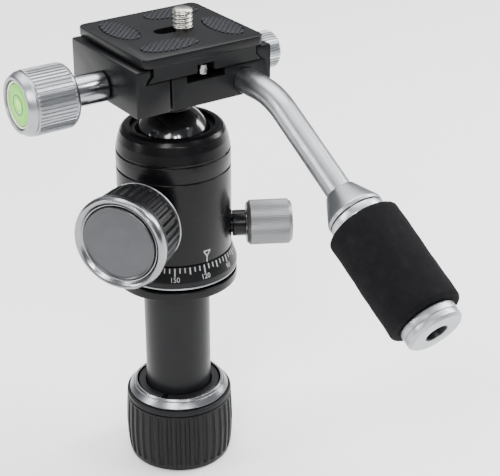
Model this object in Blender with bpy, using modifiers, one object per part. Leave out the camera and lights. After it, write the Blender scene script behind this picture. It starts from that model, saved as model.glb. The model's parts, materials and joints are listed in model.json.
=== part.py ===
"""Pan-handle ball head on a short sliding column, with a twist-lock collar at its foot.

Metres, +Z up. The column's axis is Z and the collar's flat underside is at Z = 0. +X runs across
the jaws of the quick-release clamp, towards the handle lock. -Y points to the clamp's open front,
where the pan handle leaves. Every sub-part is an object of its own, and the pieces of one moving
body are parented to an empty that stands on its joint.
"""

import math

import bmesh
import bpy
from mathutils import Matrix, Vector

MM = 0.001
X_AXIS = Vector((1.0, 0.0, 0.0))
Y_AXIS = Vector((0.0, 1.0, 0.0))
Z_AXIS = Vector((0.0, 0.0, 1.0))

GAP = 0.3 * MM  # between pieces that touch or fit in each other
PASS = 2.0 * MM  # how far a cutter runs past the face that it opens
FINE_STEPS = 32  # sides of the large round pieces
STEPS = 24  # sides of the middling ones
COARSE_STEPS = 12  # sides of screws and pins
WELD = 0.00001

# Column, and the twist-lock collar at its foot
COLUMN_R = 11.0 * MM
COLUMN_WALL = 1.6 * MM
COLUMN_TOP_Z = 68.0 * MM
COLUMN_FOOT_Z = 4.3 * MM
CAP_FLANGE = 1.2 * MM
CAP_PLUG_DEPTH = 5.0 * MM
BUSH_FLOOR = 2.5 * MM
BUSH_WALL = 3.9 * MM
BUSH_TOP_Z = 16.2 * MM
COLLET_WALL = 2.7 * MM
COLLET_TOP_Z = 27.5 * MM
COLLET_SLIT = 2.0 * MM
COLLET_SLIT_AZIMUTH = math.radians(-112.0)
COLLAR_FOOT_Z = 0.5 * MM
COLLAR_TOP_Z = 24.6 * MM
COLLAR_WALL = 1.1 * MM  # at its thread
GRIP_WALL = 1.5 * MM
GRIP_FOOT_INSET = 1.1 * MM
GRIP_ROUND = 0.9 * MM
GRIP_TOP_INSET = 0.5 * MM
RING_TOP_Z = 27.8 * MM
RING_LAND = 0.4 * MM

# Disc on the column, the stud and the screws that lock the head on it
DISC_OVERHANG = 1.7 * MM  # beyond the housing
DISC_THICK = 3.1 * MM
DISC_CHAMFER = 0.4 * MM
SPIGOT_DEPTH = 10.0 * MM
STUD_R = 4.7 * MM
STUD_DEPTH = 9.5 * MM
GRUB_R = 1.5 * MM
GRUB_CIRCLE_R = 14.0 * MM
GRUB_COUNT = 3
GRUB_SOCKET_R = 0.8 * MM
GRUB_SOCKET_DEPTH = 1.2 * MM

# Pan base, which carries the degree scale, and what turns on it
BASE_LIP_INSET = 1.6 * MM  # inside the disc
BASE_LIP = 0.7 * MM
BASE_BAND = 2.6 * MM
BASE_HEIGHT = 8.2 * MM
HUB_R = 9.0 * MM
HUB_HEIGHT = 11.1 * MM  # above the pan base
BEARING_IN_R = 11.4 * MM
BEARING_OUT_R = 14.2 * MM
BEARING_SINK = 1.0 * MM
HUB_RING_R = 11.8 * MM
HUB_RING_THICK = 0.7 * MM

# Housing of the ball
HOUSING_WALL = 3.5 * MM
SEAT_WALL = 1.9 * MM
STRAIGHT_DROP = 10.4 * MM  # below the housing's top
SHOULDER = ((0.15, 7.1), (0.65, 3.8), (1.3, 1.4), (2.1, 0.4))  # inset and drop, in mm
RIM_WIDTH = 1.9 * MM
MOUTH_GAP = 1.0 * MM  # round the ball
LIP_THICK = 1.3 * MM
GROOVE_WIDTH = 0.6 * MM
GROOVE_DEPTH = 0.35 * MM
LOWER_GROOVE_DROP = 13.6 * MM
UPPER_GROOVE_DROP = 8.0 * MM
BLOCK_HEIGHT = 9.4 * MM
SPRING_THICK = 0.8 * MM
SPRING_IN_R = 8.0 * MM
SPRING_OUT_R = 13.0 * MM
CUP_HOLE_R = 6.0 * MM
CUP_RIM_DROP = 3.7 * MM

# Ball and its neck
BALL_R = 12.5 * MM
BALL_DROP = 6.2 * MM  # its centre, below the housing's top
BALL_CLEARANCE = 0.6 * MM  # over the cup's foot
NECK_HEIGHT = 6.15 * MM  # from the ball's crown to the clamp
NECK_R = 5.8 * MM
BALL_SIDES = 28
BALL_RINGS = 16

# Main lock knob, on a radial screw
LOCK_AZIMUTH = math.radians(-147.1)
LOCK_HEIGHT = 17.2 * MM  # above the housing's foot
LOCK_SCREW_R = 3.0 * MM
LOCK_BOSS_R = 6.2 * MM
LOCK_STANDOFF = 5.15 * MM  # from the housing to the knob's back
LOCK_LENGTH = 16.25 * MM
LOCK_BACK_R = 13.7 * MM
LOCK_RING_R = 15.28 * MM
LOCK_RING_LENGTH = 3.1 * MM
LOCK_RING_ROUND = 1.0 * MM
LOCK_GRIP_WALL = 1.6 * MM
LOCK_CAP_R = 12.1 * MM
LOCK_CAP_THICK = 1.8 * MM
LOCK_CAP_DOME = 0.5 * MM
LOCK_CAP_SINK = 0.5 * MM
LOCK_WEDGE_LENGTH = 5.7 * MM
LOCK_WEDGE_TIP = 1.3 * MM

# Pan lock knob, on a radial screw
PAN_AZIMUTH = math.radians(-28.95)
PAN_HEIGHT = 5.77 * MM  # above the housing's foot
PAN_SCREW_R = 2.85 * MM
PAN_STEM_R = 4.3 * MM
PAN_KNOB_R = 7.4 * MM
PAN_STANDOFF = 4.94 * MM
PAN_KNOB_LENGTH = 14.73 * MM
PAN_KNOB_CHAMFER = 0.9 * MM
PAN_PAD_LENGTH = 2.7 * MM
KNOB_FACE_CHAMFER = 0.7 * MM

# Quick-release clamp
CLAMP_WIDTH = 47.6 * MM
CLAMP_LENGTH = 39.5 * MM
CLAMP_HEIGHT = 14.55 * MM
CLAMP_FLOOR_DROP = 4.3 * MM
CLAMP_BEVEL = 0.5 * MM
JAW_SPLIT_X = -12.0 * MM
LIP_TOP_WIDTH = 5.1 * MM
RECESS_LEFT_X = -6.5 * MM
RECESS_RIGHT_X = 7.0 * MM
RECESS_DEPTH = 2.4 * MM
CLAMP_SCREW_R = 2.85 * MM
CLAMP_SCREW_HEAD_R = 4.8 * MM
CLAMP_SCREW_HEAD = 3.4 * MM
HEX_SOCKET_R = 2.9 * MM
HEX_SOCKET_DEPTH = 2.2 * MM
GUIDE_PIN_R = 1.5 * MM
GUIDE_PIN_Y = 13.0 * MM
GUIDE_PIN_IN_JAW = 8.4 * MM
GUIDE_PIN_IN_BODY = 7.5 * MM
JAW_TRAVEL = 4.0 * MM

# Clamp knob, with its bubble level
CLAMP_KNOB_HEIGHT = 4.75 * MM  # above the clamp's foot
CLAMP_BOLT_R = 2.85 * MM
CLAMP_BOLT_IN_BODY = 6.6 * MM
CLAMP_SHAFT_R = 4.75 * MM
CLAMP_KNOB_R = 10.0 * MM
CLAMP_KNOB_BACK = 36.3 * MM
CLAMP_KNOB_FRONT = 53.1 * MM
CLAMP_KNOB_BACK_ROUND = 1.5 * MM
CLAMP_KNOB_CHAMFER = 2.6 * MM
CLAMP_KNOB_FACE_R = 8.7 * MM
LEVEL_BORE_R = 7.5 * MM
LEVEL_DEPTH = 3.6 * MM
LEVEL_CUP_WALL = 0.6 * MM
LEVEL_CUP_FLOOR = 0.6 * MM
LEVEL_DOME = 0.25 * MM

# Plate, with its pads and screws
PLATE_WIDTH = 42.9 * MM
PLATE_LENGTH = 40.8 * MM
PLATE_RISE = 3.4 * MM  # above the jaws
PLATE_SLAB = 3.0 * MM
PLATE_CORNER_R = 2.6 * MM
PLATE_BEVEL = 0.5 * MM
DOVETAIL_HEIGHT = 1.9 * MM
SLOT_LEFT_X = -3.0 * MM
SLOT_RIGHT_X = 4.55 * MM
CHANNEL_HALF = 6.2 * MM
CHANNEL_REACH = 9.4 * MM
CHANNEL_DEPTH = 3.3 * MM
PAD_LONG = 19.0 * MM
PAD_SHORT = 9.0 * MM
PAD_THICK = 0.9 * MM
PAD_PROUD = 0.3 * MM
PADS = ((-13.4, 7.5, 90.0), (9.0, 14.0, 0.0), (15.5, -5.8, 90.0), (-7.5, -12.3, 0.0))
STOP_SCREW_R = 1.65 * MM
STOP_SHANK_R = 0.9 * MM
STOP_SCREW_Y = 18.0 * MM
STOP_SCREW_SINK = 1.0 * MM  # below the clamp's floor
STOP_SCREW_HEAD = 3.3 * MM
STOP_NOTCH_R = 3.0 * MM
STOP_NOTCH_DEPTH = 2.6 * MM
PLATE_TRAVEL = 6.0 * MM

# Camera screw, 1/4 inch with 20 threads to the inch
CAMERA_SCREW_R = 3.175 * MM
CAMERA_SCREW_LENGTH = 5.9 * MM
CAMERA_SCREW_NECK_R = 2.25 * MM
CAMERA_SCREW_HEAD_R = 5.8 * MM
CAMERA_SCREW_HEAD = 1.7 * MM
WASHER_R = 5.0 * MM
WASHER_THICK = 0.5 * MM
DRIVER_SLOT = 1.2 * MM
DRIVER_SLOT_DEPTH = 0.9 * MM

# Pan handle
HANDLE_X = 14.24 * MM
HANDLE_HEIGHT = 4.65 * MM  # above the clamp's foot
HANDLE_ARM_R = 4.0 * MM
HANDLE_STUB_END_Y = 3.5 * MM
HANDLE_BEND_Y = -35.0 * MM
HANDLE_BEND_R = 26.0 * MM
HANDLE_DROP = math.radians(30.0)
HANDLE_BORE_END_Y = 5.0 * MM
BEND_POINTS = 9
ARM_END = 86.3 * MM
FERRULE_START = 38.5 * MM
FERRULE_END = 47.4 * MM
FERRULE_THIN_R = 4.8 * MM
FERRULE_R = 8.7 * MM
FERRULE_LAND = 0.9 * MM
FERRULE_RING_LENGTH = 2.6 * MM
FOAM_LENGTH = 33.4 * MM
FOAM_R = 11.25 * MM
FOAM_ROUND = 2.2 * MM
END_CAP_LENGTH = 4.9 * MM
END_CAP_R = 8.6 * MM
END_CAP_CHAMFER = 0.8 * MM
END_CAP_HOLE_R = 3.5 * MM
END_CAP_FACE = 2.3 * MM

# Handle lock, a thumbscrew on the clamp's +X side
HANDLE_LOCK_SCREW_R = 2.3 * MM
HANDLE_LOCK_NECK_R = 3.4 * MM
HANDLE_LOCK_R = 6.1 * MM
HANDLE_LOCK_BACK = 28.0 * MM
HANDLE_LOCK_FRONT = 38.1 * MM
HANDLE_LOCK_TIP = 1.6 * MM

# What follows from the sizes above
BUSH_R = COLUMN_R + GAP
THREAD_R = BUSH_R + BUSH_WALL + GAP
COLLET_R = BUSH_R + COLLET_WALL
THROAT_R = COLLET_R + GAP
COLLAR_CORE_R = THREAD_R + COLLAR_WALL
GRIP_R = COLLAR_CORE_R + GAP + GRIP_WALL
DISC_Z = COLUMN_TOP_Z + GAP
BASE_Z = DISC_Z + DISC_THICK + GAP
BASE_TOP_Z = BASE_Z + BASE_HEIGHT
HUB_TOP_Z = BASE_TOP_Z + HUB_HEIGHT
HOUSING_Z = BASE_TOP_Z + GAP
BLOCK_Z = HUB_TOP_Z + GAP + HUB_RING_THICK + GAP
SPRING_Z = BLOCK_Z + BLOCK_HEIGHT + GAP
CUP_Z = SPRING_Z + SPRING_THICK + GAP
BALL_Z = CUP_Z + BALL_CLEARANCE + BALL_R
HOUSING_TOP_Z = BALL_Z + BALL_DROP
LOCK_Z = HOUSING_Z + LOCK_HEIGHT
PAN_Z = HOUSING_Z + PAN_HEIGHT
CLAMP_FOOT_Z = BALL_Z + BALL_R + NECK_HEIGHT
CLAMP_TOP_Z = CLAMP_FOOT_Z + CLAMP_HEIGHT
CLAMP_FLOOR_Z = CLAMP_TOP_Z - CLAMP_FLOOR_DROP
CLAMP_KNOB_Z = CLAMP_FOOT_Z + CLAMP_KNOB_HEIGHT
HANDLE_Z = CLAMP_FOOT_Z + HANDLE_HEIGHT
RECESS_FLOOR_Z = CLAMP_FLOOR_Z - RECESS_DEPTH
STOP_SCREW_FOOT_Z = CLAMP_FLOOR_Z - STOP_SCREW_SINK
PLATE_TOP_Z = CLAMP_TOP_Z + PLATE_RISE
SEAT_R = BALL_R + GAP
INSERT_R = SEAT_R + SEAT_WALL
CAVITY_R = INSERT_R + GAP
HOUSING_R = CAVITY_R + HOUSING_WALL
MOUTH_R = BALL_R + MOUTH_GAP
RIM_R = MOUTH_R + RIM_WIDTH
DISC_R = HOUSING_R + DISC_OVERHANG
BASE_LIP_R = DISC_R - BASE_LIP_INSET
LOCK_BACK = HOUSING_R + LOCK_STANDOFF
LOCK_FRONT = LOCK_BACK + LOCK_LENGTH
PAN_KNOB_BACK = HOUSING_R + PAN_STANDOFF
PAN_KNOB_FRONT = PAN_KNOB_BACK + PAN_KNOB_LENGTH
NECK_TOP_Z = CLAMP_FOOT_Z - GAP
PLATE_FOOT_Z = CLAMP_FLOOR_Z + GAP
PLATE_SLAB_Z = PLATE_TOP_Z - PLATE_SLAB
LIP_INNER_X = CLAMP_WIDTH / 2 - LIP_TOP_WIDTH
PLATE_NECK_X = LIP_INNER_X - 2 * GAP
LOCK_AXIS = Vector((math.cos(LOCK_AZIMUTH), math.sin(LOCK_AZIMUTH), 0.0))
PAN_AXIS = Vector((math.cos(PAN_AZIMUTH), math.sin(PAN_AZIMUTH), 0.0))
HANDLE_DIRECTION = Vector((0.0, -math.cos(HANDLE_DROP), -math.sin(HANDLE_DROP)))
HANDLE_CORNER = Vector((HANDLE_X, HANDLE_BEND_Y, HANDLE_Z))

# name: (colour, metallic, roughness)
LOOKS = {
    "black_anodised": ((0.035, 0.036, 0.038), 0.6, 0.38),
    "black_satin": ((0.022, 0.023, 0.026), 0.3, 0.34),
    "black_gloss": ((0.010, 0.010, 0.011), 0.2, 0.08),
    "column_grey": ((0.060, 0.062, 0.068), 0.7, 0.33),
    "satin_aluminium": ((0.56, 0.57, 0.59), 1.0, 0.30),
    "disc_grey": ((0.33, 0.34, 0.36), 0.9, 0.36),
    "steel": ((0.50, 0.50, 0.49), 1.0, 0.28),
    "nickel": ((0.62, 0.60, 0.56), 1.0, 0.25),
    "rubber": ((0.030, 0.033, 0.038), 0.0, 0.62),
    "foam": ((0.018, 0.018, 0.020), 0.0, 0.95),
    "nylon": ((0.72, 0.72, 0.68), 0.0, 0.45),
    "acetal": ((0.04, 0.04, 0.042), 0.0, 0.40),
    "brass": ((0.62, 0.46, 0.20), 1.0, 0.32),
    "level_green": ((0.42, 0.78, 0.12), 0.0, 0.12),
    "level_white": ((0.75, 0.80, 0.70), 0.0, 0.30),
}


def clear_scene():
    """Removes what the start-up scene holds."""
    for leftover in list(bpy.data.objects):
        bpy.data.objects.remove(leftover, do_unlink=True)


def new_collection(name, hidden=False):
    """A collection under the scene's own, left out of a render if it is hidden."""
    made = bpy.data.collections.new(name)
    bpy.context.scene.collection.children.link(made)
    made.hide_render = hidden
    return made


def material(name, look):
    """A Principled material of its own for one piece."""
    colour, metallic, roughness = LOOKS[look]
    made = bpy.data.materials.new(name)
    made.use_nodes = True
    shader = made.node_tree.nodes["Principled BSDF"]
    shader.inputs["Base Color"].default_value = (*colour, 1.0)
    shader.inputs["Metallic"].default_value = metallic
    shader.inputs["Roughness"].default_value = roughness
    made.diffuse_color = (*colour, 1.0)
    return made


def aimed(axis):
    """The turn that takes +Z to an axis."""
    return Z_AXIS.rotation_difference(Vector(axis)).to_matrix().to_4x4()


def placed(mesh, name, look, pivot, at=(0.0, 0.0, 0.0), axis=Z_AXIS):
    """A new part object that rides on a pivot, and stands at a place with its local +Z along an axis."""
    made = bpy.data.objects.new(name, mesh)
    PARTS.objects.link(made)
    made.matrix_world = Matrix.Translation(at) @ aimed(axis)
    made.data.materials.append(material(name, look))
    ride(made, pivot)
    return made


def ride(made, pivot):
    """Parents an object to a pivot without moving it."""
    if pivot is not None:
        made.parent = pivot
        made.matrix_parent_inverse = pivot.matrix_world.inverted()


def pivot_at(name, at, parent=None):
    """An empty on a joint's axis."""
    made = bpy.data.objects.new(name, None)
    made.empty_display_size = 5 * MM
    PARTS.objects.link(made)
    made.location = at
    bpy.context.view_layer.update()
    ride(made, parent)
    bpy.context.view_layer.update()
    return made


def mesh_of(name, build):
    """A mesh filled by build(bm)."""
    bm = bmesh.new()
    build(bm)
    mesh = bpy.data.meshes.new(name)
    bm.to_mesh(mesh)
    bm.free()
    return mesh


def shade(made, angle=35.0):
    """Smooth shading that keeps the sharp edges."""
    made.data.shade_smooth()
    made.data.set_sharp_from_angle(angle=math.radians(angle))
    return made


def turned(name, profile, look, pivot, at=(0.0, 0.0, 0.0), axis=Z_AXIS, steps=STEPS):
    """A turned piece. Its (radius, height) points run down the outer side, and back up the bore if there is one."""
    mesh = bpy.data.meshes.new(name)
    ends_on_axis = profile[0][0] == 0.0 and profile[-1][0] == 0.0
    edges = [(i, i + 1) for i in range(len(profile) - 1)]
    if not ends_on_axis:
        edges.append((len(profile) - 1, 0))
    mesh.from_pydata([(radius, 0.0, height) for radius, height in profile], edges, [])
    made = placed(mesh, name, look, pivot, at, axis)
    screw = made.modifiers.new("turn", "SCREW")
    screw.axis = "Z"
    screw.angle = math.tau
    screw.steps = screw.render_steps = steps
    screw.use_merge_vertices = True
    screw.merge_threshold = WELD
    screw.use_smooth_shade = False
    return made


def rod(name, radius, low, high, look, pivot, at=(0.0, 0.0, 0.0), axis=Z_AXIS, steps=COARSE_STEPS):
    """A plain round bar between two heights on an axis."""
    return turned(name, disc_profile(radius, low, high), look, pivot, at, axis, steps)


def disc_profile(radius, low, high):
    return [(0.0, high), (radius, high), (radius, low), (0.0, low)]


def ring_profile(inner, outer, low, high):
    return [(inner, high), (outer, high), (outer, low), (inner, low)]


def round_corner(centre_r, centre_h, radius, start, end, count=4):
    """Profile points on an arc. Angles are in degrees, 0 outwards and 90 up."""
    points = []
    for i in range(count):
        angle = math.radians(start + (end - start) * i / (count - 1))
        points.append((centre_r + radius * math.cos(angle), centre_h + radius * math.sin(angle)))
    return points


def sphere_profile(radius, centre_h, start_h, end_h, count=8):
    """Profile points on a sphere about the axis, from one height to another."""
    start = math.asin((start_h - centre_h) / radius)
    end = math.asin((end_h - centre_h) / radius)
    points = []
    for i in range(count):
        angle = start + (end - start) * i / (count - 1)
        points.append((radius * math.cos(angle), centre_h + radius * math.sin(angle)))
    return points


def groove(radius, height):
    """Four profile points that cut a small groove in a straight side."""
    half = GROOVE_WIDTH / 2
    return [
        (radius, height + half),
        (radius - GROOVE_DEPTH, height + half / 2),
        (radius - GROOVE_DEPTH, height - half / 2),
        (radius, height - half),
    ]


def helper(mesh, name, at, axis=Z_AXIS):
    """A cutter, which no render shows."""
    made = bpy.data.objects.new(name, mesh)
    CUTTERS.objects.link(made)
    made.matrix_world = Matrix.Translation(at) @ aimed(axis)
    made.hide_render = True
    made.display_type = "WIRE"
    return made


def round_cutter(name, radius, low, high, at=(0.0, 0.0, 0.0), axis=Z_AXIS, steps=COARSE_STEPS):
    """A cylinder that cuts a bore between two heights on an axis."""

    def build(bm):
        middle = Matrix.Translation((0.0, 0.0, (low + high) / 2))
        bmesh.ops.create_cone(
            bm, cap_ends=True, segments=steps, radius1=radius, radius2=radius, depth=high - low, matrix=middle
        )

    return helper(mesh_of(name, build), name, at, axis)


def box_cutter(name, low, high):
    """A block that cuts the room between two corners."""

    def build(bm):
        size = Vector(high) - Vector(low)
        middle = (Vector(high) + Vector(low)) / 2
        bmesh.ops.create_cube(bm, size=1.0, matrix=Matrix.Translation(middle) @ Matrix.Diagonal((*size, 1.0)))

    return helper(mesh_of(name, build), name, (0.0, 0.0, 0.0))


def cut(made, cutter):
    boolean = made.modifiers.new("cut " + cutter.name, "BOOLEAN")
    boolean.operation = "DIFFERENCE"
    boolean.solver = "EXACT"
    boolean.object = cutter
    return made


def join(made, addition):
    boolean = made.modifiers.new("join " + addition.name, "BOOLEAN")
    boolean.operation = "UNION"
    boolean.solver = "EXACT"
    boolean.object = addition
    return made


def flat_outline(name, points, depth):
    """A mesh of a flat outline in XY, extruded by its depth about Z = 0."""
    curve = bpy.data.curves.new(name, "CURVE")
    curve.dimensions = "2D"
    curve.fill_mode = "BOTH"
    curve.extrude = depth / 2
    spline = curve.splines.new("POLY")
    spline.points.add(len(points) - 1)
    for point, (x, y) in zip(spline.points, points):
        point.co = (x, y, 0.0, 1.0)
    spline.use_cyclic_u = True
    sketch = bpy.data.objects.new(name + " sketch", curve)
    PARTS.objects.link(sketch)
    bpy.context.view_layer.update()
    mesh = bpy.data.meshes.new_from_object(sketch.evaluated_get(bpy.context.evaluated_depsgraph_get()))
    bpy.data.objects.remove(sketch, do_unlink=True)
    bm = bmesh.new()
    bm.from_mesh(mesh)
    bmesh.ops.remove_doubles(bm, verts=bm.verts, dist=WELD)
    bmesh.ops.recalc_face_normals(bm, faces=bm.faces)
    bm.to_mesh(mesh)
    bm.free()
    mesh.materials.clear()
    return mesh


def bar_along_y(name, section, length, look, pivot):
    """A bar whose (x, z) section runs along Y, centred on Y = 0."""
    mesh = flat_outline(name, section, length)
    mesh.transform(Matrix.Rotation(math.radians(90.0), 4, "X"))
    return placed(mesh, name, look, pivot)


def soften(made, width, segments=2):
    """Rounds an object's outer edges."""
    bevel = made.modifiers.new("edges", "BEVEL")
    bevel.width = width
    bevel.segments = segments
    bevel.limit_method = "ANGLE"
    bevel.angle_limit = math.radians(50.0)
    return made


def ellipse(centre_x, centre_y, half_long, half_short, turn, count=28):
    """Outline points of an ellipse, turned by an angle in degrees."""
    spin = math.radians(turn)
    points = []
    for i in range(count):
        angle = math.tau * i / count
        along, across = half_long * math.cos(angle), half_short * math.sin(angle)
        points.append(
            (
                centre_x + along * math.cos(spin) - across * math.sin(spin),
                centre_y + along * math.sin(spin) + across * math.cos(spin),
            )
        )
    return points


def rounded_rectangle(half_x, half_y, radius, count=4):
    """Outline points of a rectangle about the origin with round corners."""
    points = []
    for corner, (side_x, side_y) in enumerate(((1, 1), (-1, 1), (-1, -1), (1, -1))):
        for i in range(count):
            angle = math.radians(90.0 * corner + 90.0 * i / (count - 1))
            points.append(
                (
                    side_x * (half_x - radius) + radius * math.cos(angle),
                    side_y * (half_y - radius) + radius * math.sin(angle),
                )
            )
    return points


def slot_outline(left_x, right_x, radius, count=7):
    """Outline points of a slot along X with round ends, given by its end centres."""
    points = []
    for centre, start in ((right_x, -90.0), (left_x, 90.0)):
        for i in range(count):
            angle = math.radians(start + 180.0 * i / (count - 1))
            points.append((centre + radius * math.cos(angle), radius * math.sin(angle)))
    return points


def build_base():
    """The collar's fixed bush, closed by the floor that the object stands on, and the split collet on it."""
    bush_out_r = THREAD_R - GAP
    turned(
        "base_bush",
        [
            (BUSH_R, BUSH_TOP_Z),
            (bush_out_r, BUSH_TOP_Z),
            (bush_out_r, 0.0),
            (0.0, 0.0),
            (0.0, BUSH_FLOOR),
            (BUSH_R, BUSH_FLOOR),
        ],
        "acetal",
        None,
        steps=FINE_STEPS,
    )
    collet = turned(
        "collet",
        [
            (BUSH_R, COLLET_TOP_Z),
            (COLLET_R - 2 * GAP, COLLET_TOP_Z),
            (COLLET_R, COLLET_TOP_Z - 2 * GAP),
            (COLLET_R, BUSH_TOP_Z + GAP),
            (BUSH_R, BUSH_TOP_Z + GAP),
        ],
        "acetal",
        None,
        steps=FINE_STEPS,
    )
    slit = round_slit("collet slit", COLLET_SLIT, COLLET_SLIT_AZIMUTH)
    cut(collet, slit)


def round_slit(name, width, azimuth):
    """A block that cuts one side of a ring through, at an azimuth."""

    def build(bm):
        reach, rise = COLLET_R + PASS, COLLET_TOP_Z + PASS - BUSH_TOP_Z + PASS
        middle = Matrix.Translation((reach / 2, 0.0, BUSH_TOP_Z - PASS + rise / 2))
        turn = Matrix.Rotation(azimuth, 4, "Z")
        bmesh.ops.create_cube(bm, size=1.0, matrix=turn @ middle @ Matrix.Diagonal((reach, width, rise, 1.0)))

    return helper(mesh_of(name, build), name, (0.0, 0.0, 0.0))


def build_collar():
    """The part of the collar that turns: a threaded core, its rubber grip and its bright top ring."""
    pivot = pivot_at("collar pivot", (0.0, 0.0, 0.0))
    shelf_z = BUSH_TOP_Z + GAP
    turned(
        "collar_core",
        [
            (THROAT_R, COLLAR_TOP_Z),
            (COLLAR_CORE_R, COLLAR_TOP_Z),
            (COLLAR_CORE_R, COLLAR_FOOT_Z + GRIP_ROUND),
            (COLLAR_CORE_R - GRIP_ROUND, COLLAR_FOOT_Z),
            (THREAD_R, COLLAR_FOOT_Z),
            (THREAD_R, shelf_z),
            (THROAT_R, shelf_z + THREAD_R - THROAT_R),
        ],
        "acetal",
        pivot,
        steps=FINE_STEPS,
    )
    top_r = GRIP_R - GRIP_TOP_INSET - GRIP_ROUND
    bulge_z = (COLLAR_TOP_Z + COLLAR_FOOT_Z) / 2
    turned(
        "collar_grip",
        [
            (COLLAR_CORE_R + GAP, COLLAR_TOP_Z),
            *round_corner(top_r, COLLAR_TOP_Z - GRIP_ROUND, GRIP_ROUND, 80.0, 0.0),
            (GRIP_R, bulge_z),
            (GRIP_R - GAP, bulge_z / 2),
            (GRIP_R - GRIP_FOOT_INSET, COLLAR_FOOT_Z),
            (COLLAR_CORE_R + GAP, COLLAR_FOOT_Z),
        ],
        "rubber",
        pivot,
        steps=FINE_STEPS,
    )
    turned(
        "collar_ring",
        [
            (THROAT_R, RING_TOP_Z),
            (THROAT_R + RING_LAND, RING_TOP_Z),
            (GRIP_R - GRIP_WALL, COLLAR_TOP_Z + 2 * GAP),
            (GRIP_R - GRIP_WALL, COLLAR_TOP_Z + GAP),
            (THROAT_R, COLLAR_TOP_Z + GAP),
        ],
        "satin_aluminium",
        pivot,
        steps=FINE_STEPS,
    )


def build_column():
    """The sliding column, the disc on it and the pan base that is locked on the disc."""
    pivot = pivot_at("column pivot", (0.0, 0.0, COLUMN_FOOT_Z))
    bore_r = COLUMN_R - COLUMN_WALL
    turned(
        "column_tube",
        ring_profile(bore_r, COLUMN_R, COLUMN_FOOT_Z, COLUMN_TOP_Z),
        "column_grey",
        pivot,
        steps=FINE_STEPS,
    )
    flange_top = COLUMN_FOOT_Z - GAP
    turned(
        "column_end_cap",
        [
            (0.0, flange_top + CAP_PLUG_DEPTH),
            (bore_r - GAP, flange_top + CAP_PLUG_DEPTH),
            (bore_r - GAP, flange_top),
            (COLUMN_R, flange_top),
            (COLUMN_R - GAP, flange_top - CAP_FLANGE),
            (0.0, flange_top - CAP_FLANGE),
        ],
        "acetal",
        pivot,
    )
    build_disc(pivot, bore_r - GAP)
    build_pan_base(pivot)
    return pivot


def build_disc(pivot, spigot_r):
    """The disc with its spigot in the tube, the stud through it and the grub screws that lock the head."""
    disc_top_z = DISC_Z + DISC_THICK
    disc = turned(
        "column_top_plate",
        [
            (STUD_R + GAP, disc_top_z),
            (DISC_R - DISC_CHAMFER, disc_top_z),
            (DISC_R, disc_top_z - DISC_CHAMFER),
            (DISC_R, DISC_Z + DISC_CHAMFER),
            (DISC_R - DISC_CHAMFER, DISC_Z),
            (spigot_r, DISC_Z),
            (spigot_r, DISC_Z - SPIGOT_DEPTH),
            (STUD_R + GAP, DISC_Z - SPIGOT_DEPTH),
        ],
        "black_satin",
        pivot,
        steps=FINE_STEPS,
    )
    rod("head_stud", STUD_R, DISC_Z - STUD_DEPTH, HUB_TOP_Z - 2 * GAP, "steel", pivot, steps=STEPS)
    for number in range(GRUB_COUNT):
        azimuth = math.tau * number / GRUB_COUNT + math.radians(-120.0)
        at = (GRUB_CIRCLE_R * math.cos(azimuth), GRUB_CIRCLE_R * math.sin(azimuth), 0.0)
        hole = round_cutter(f"grub hole {number + 1}", GRUB_R + GAP, DISC_Z - PASS, disc_top_z + PASS, at)
        cut(disc, hole)
        socket_z = DISC_Z + GAP / 2
        turned(
            f"grub_screw_{number + 1}",
            [
                (0.0, disc_top_z - GAP / 2),
                (GRUB_R, disc_top_z - GAP / 2),
                (GRUB_R, socket_z),
                (GRUB_SOCKET_R, socket_z),
                (GRUB_SOCKET_R, socket_z + GRUB_SOCKET_DEPTH),
                (0.0, socket_z + GRUB_SOCKET_DEPTH),
            ],
            "steel",
            pivot,
            at,
            steps=COARSE_STEPS,
        )


def build_pan_base(pivot):
    """The base with the degree scale, its hub, and the bearing and ring that the housing turns between."""
    bore_r = STUD_R + GAP
    band_foot_z = BASE_Z + BASE_LIP
    turned(
        "pan_base",
        [
            (bore_r, HUB_TOP_Z),
            (HUB_R - GAP, HUB_TOP_Z),
            (HUB_R, HUB_TOP_Z - GAP),
            (HUB_R, BASE_TOP_Z),
            (BEARING_IN_R - GAP, BASE_TOP_Z),
            (BEARING_IN_R - GAP, BASE_TOP_Z - BEARING_SINK),
            (BEARING_OUT_R + GAP, BASE_TOP_Z - BEARING_SINK),
            (BEARING_OUT_R + GAP, BASE_TOP_Z),
            (HOUSING_R, BASE_TOP_Z),
            (DISC_R - GAP, band_foot_z + BASE_BAND),
            (DISC_R, band_foot_z + BASE_BAND - GAP),
            (DISC_R, band_foot_z + GAP),
            (DISC_R - GAP, band_foot_z),
            (BASE_LIP_R, band_foot_z),
            (BASE_LIP_R, BASE_Z),
            (bore_r, BASE_Z),
        ],
        "black_anodised",
        pivot,
        steps=FINE_STEPS,
    )
    low = BASE_TOP_Z - BEARING_SINK + GAP
    turned(
        "pan_bearing",
        ring_profile(BEARING_IN_R, BEARING_OUT_R, low, BASE_TOP_Z + BEARING_SINK),
        "nylon",
        pivot,
    )
    low = HUB_TOP_Z + GAP
    turned(
        "pan_hub_ring",
        ring_profile(bore_r, HUB_RING_R, low, low + HUB_RING_THICK),
        "steel",
        pivot,
    )


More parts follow.
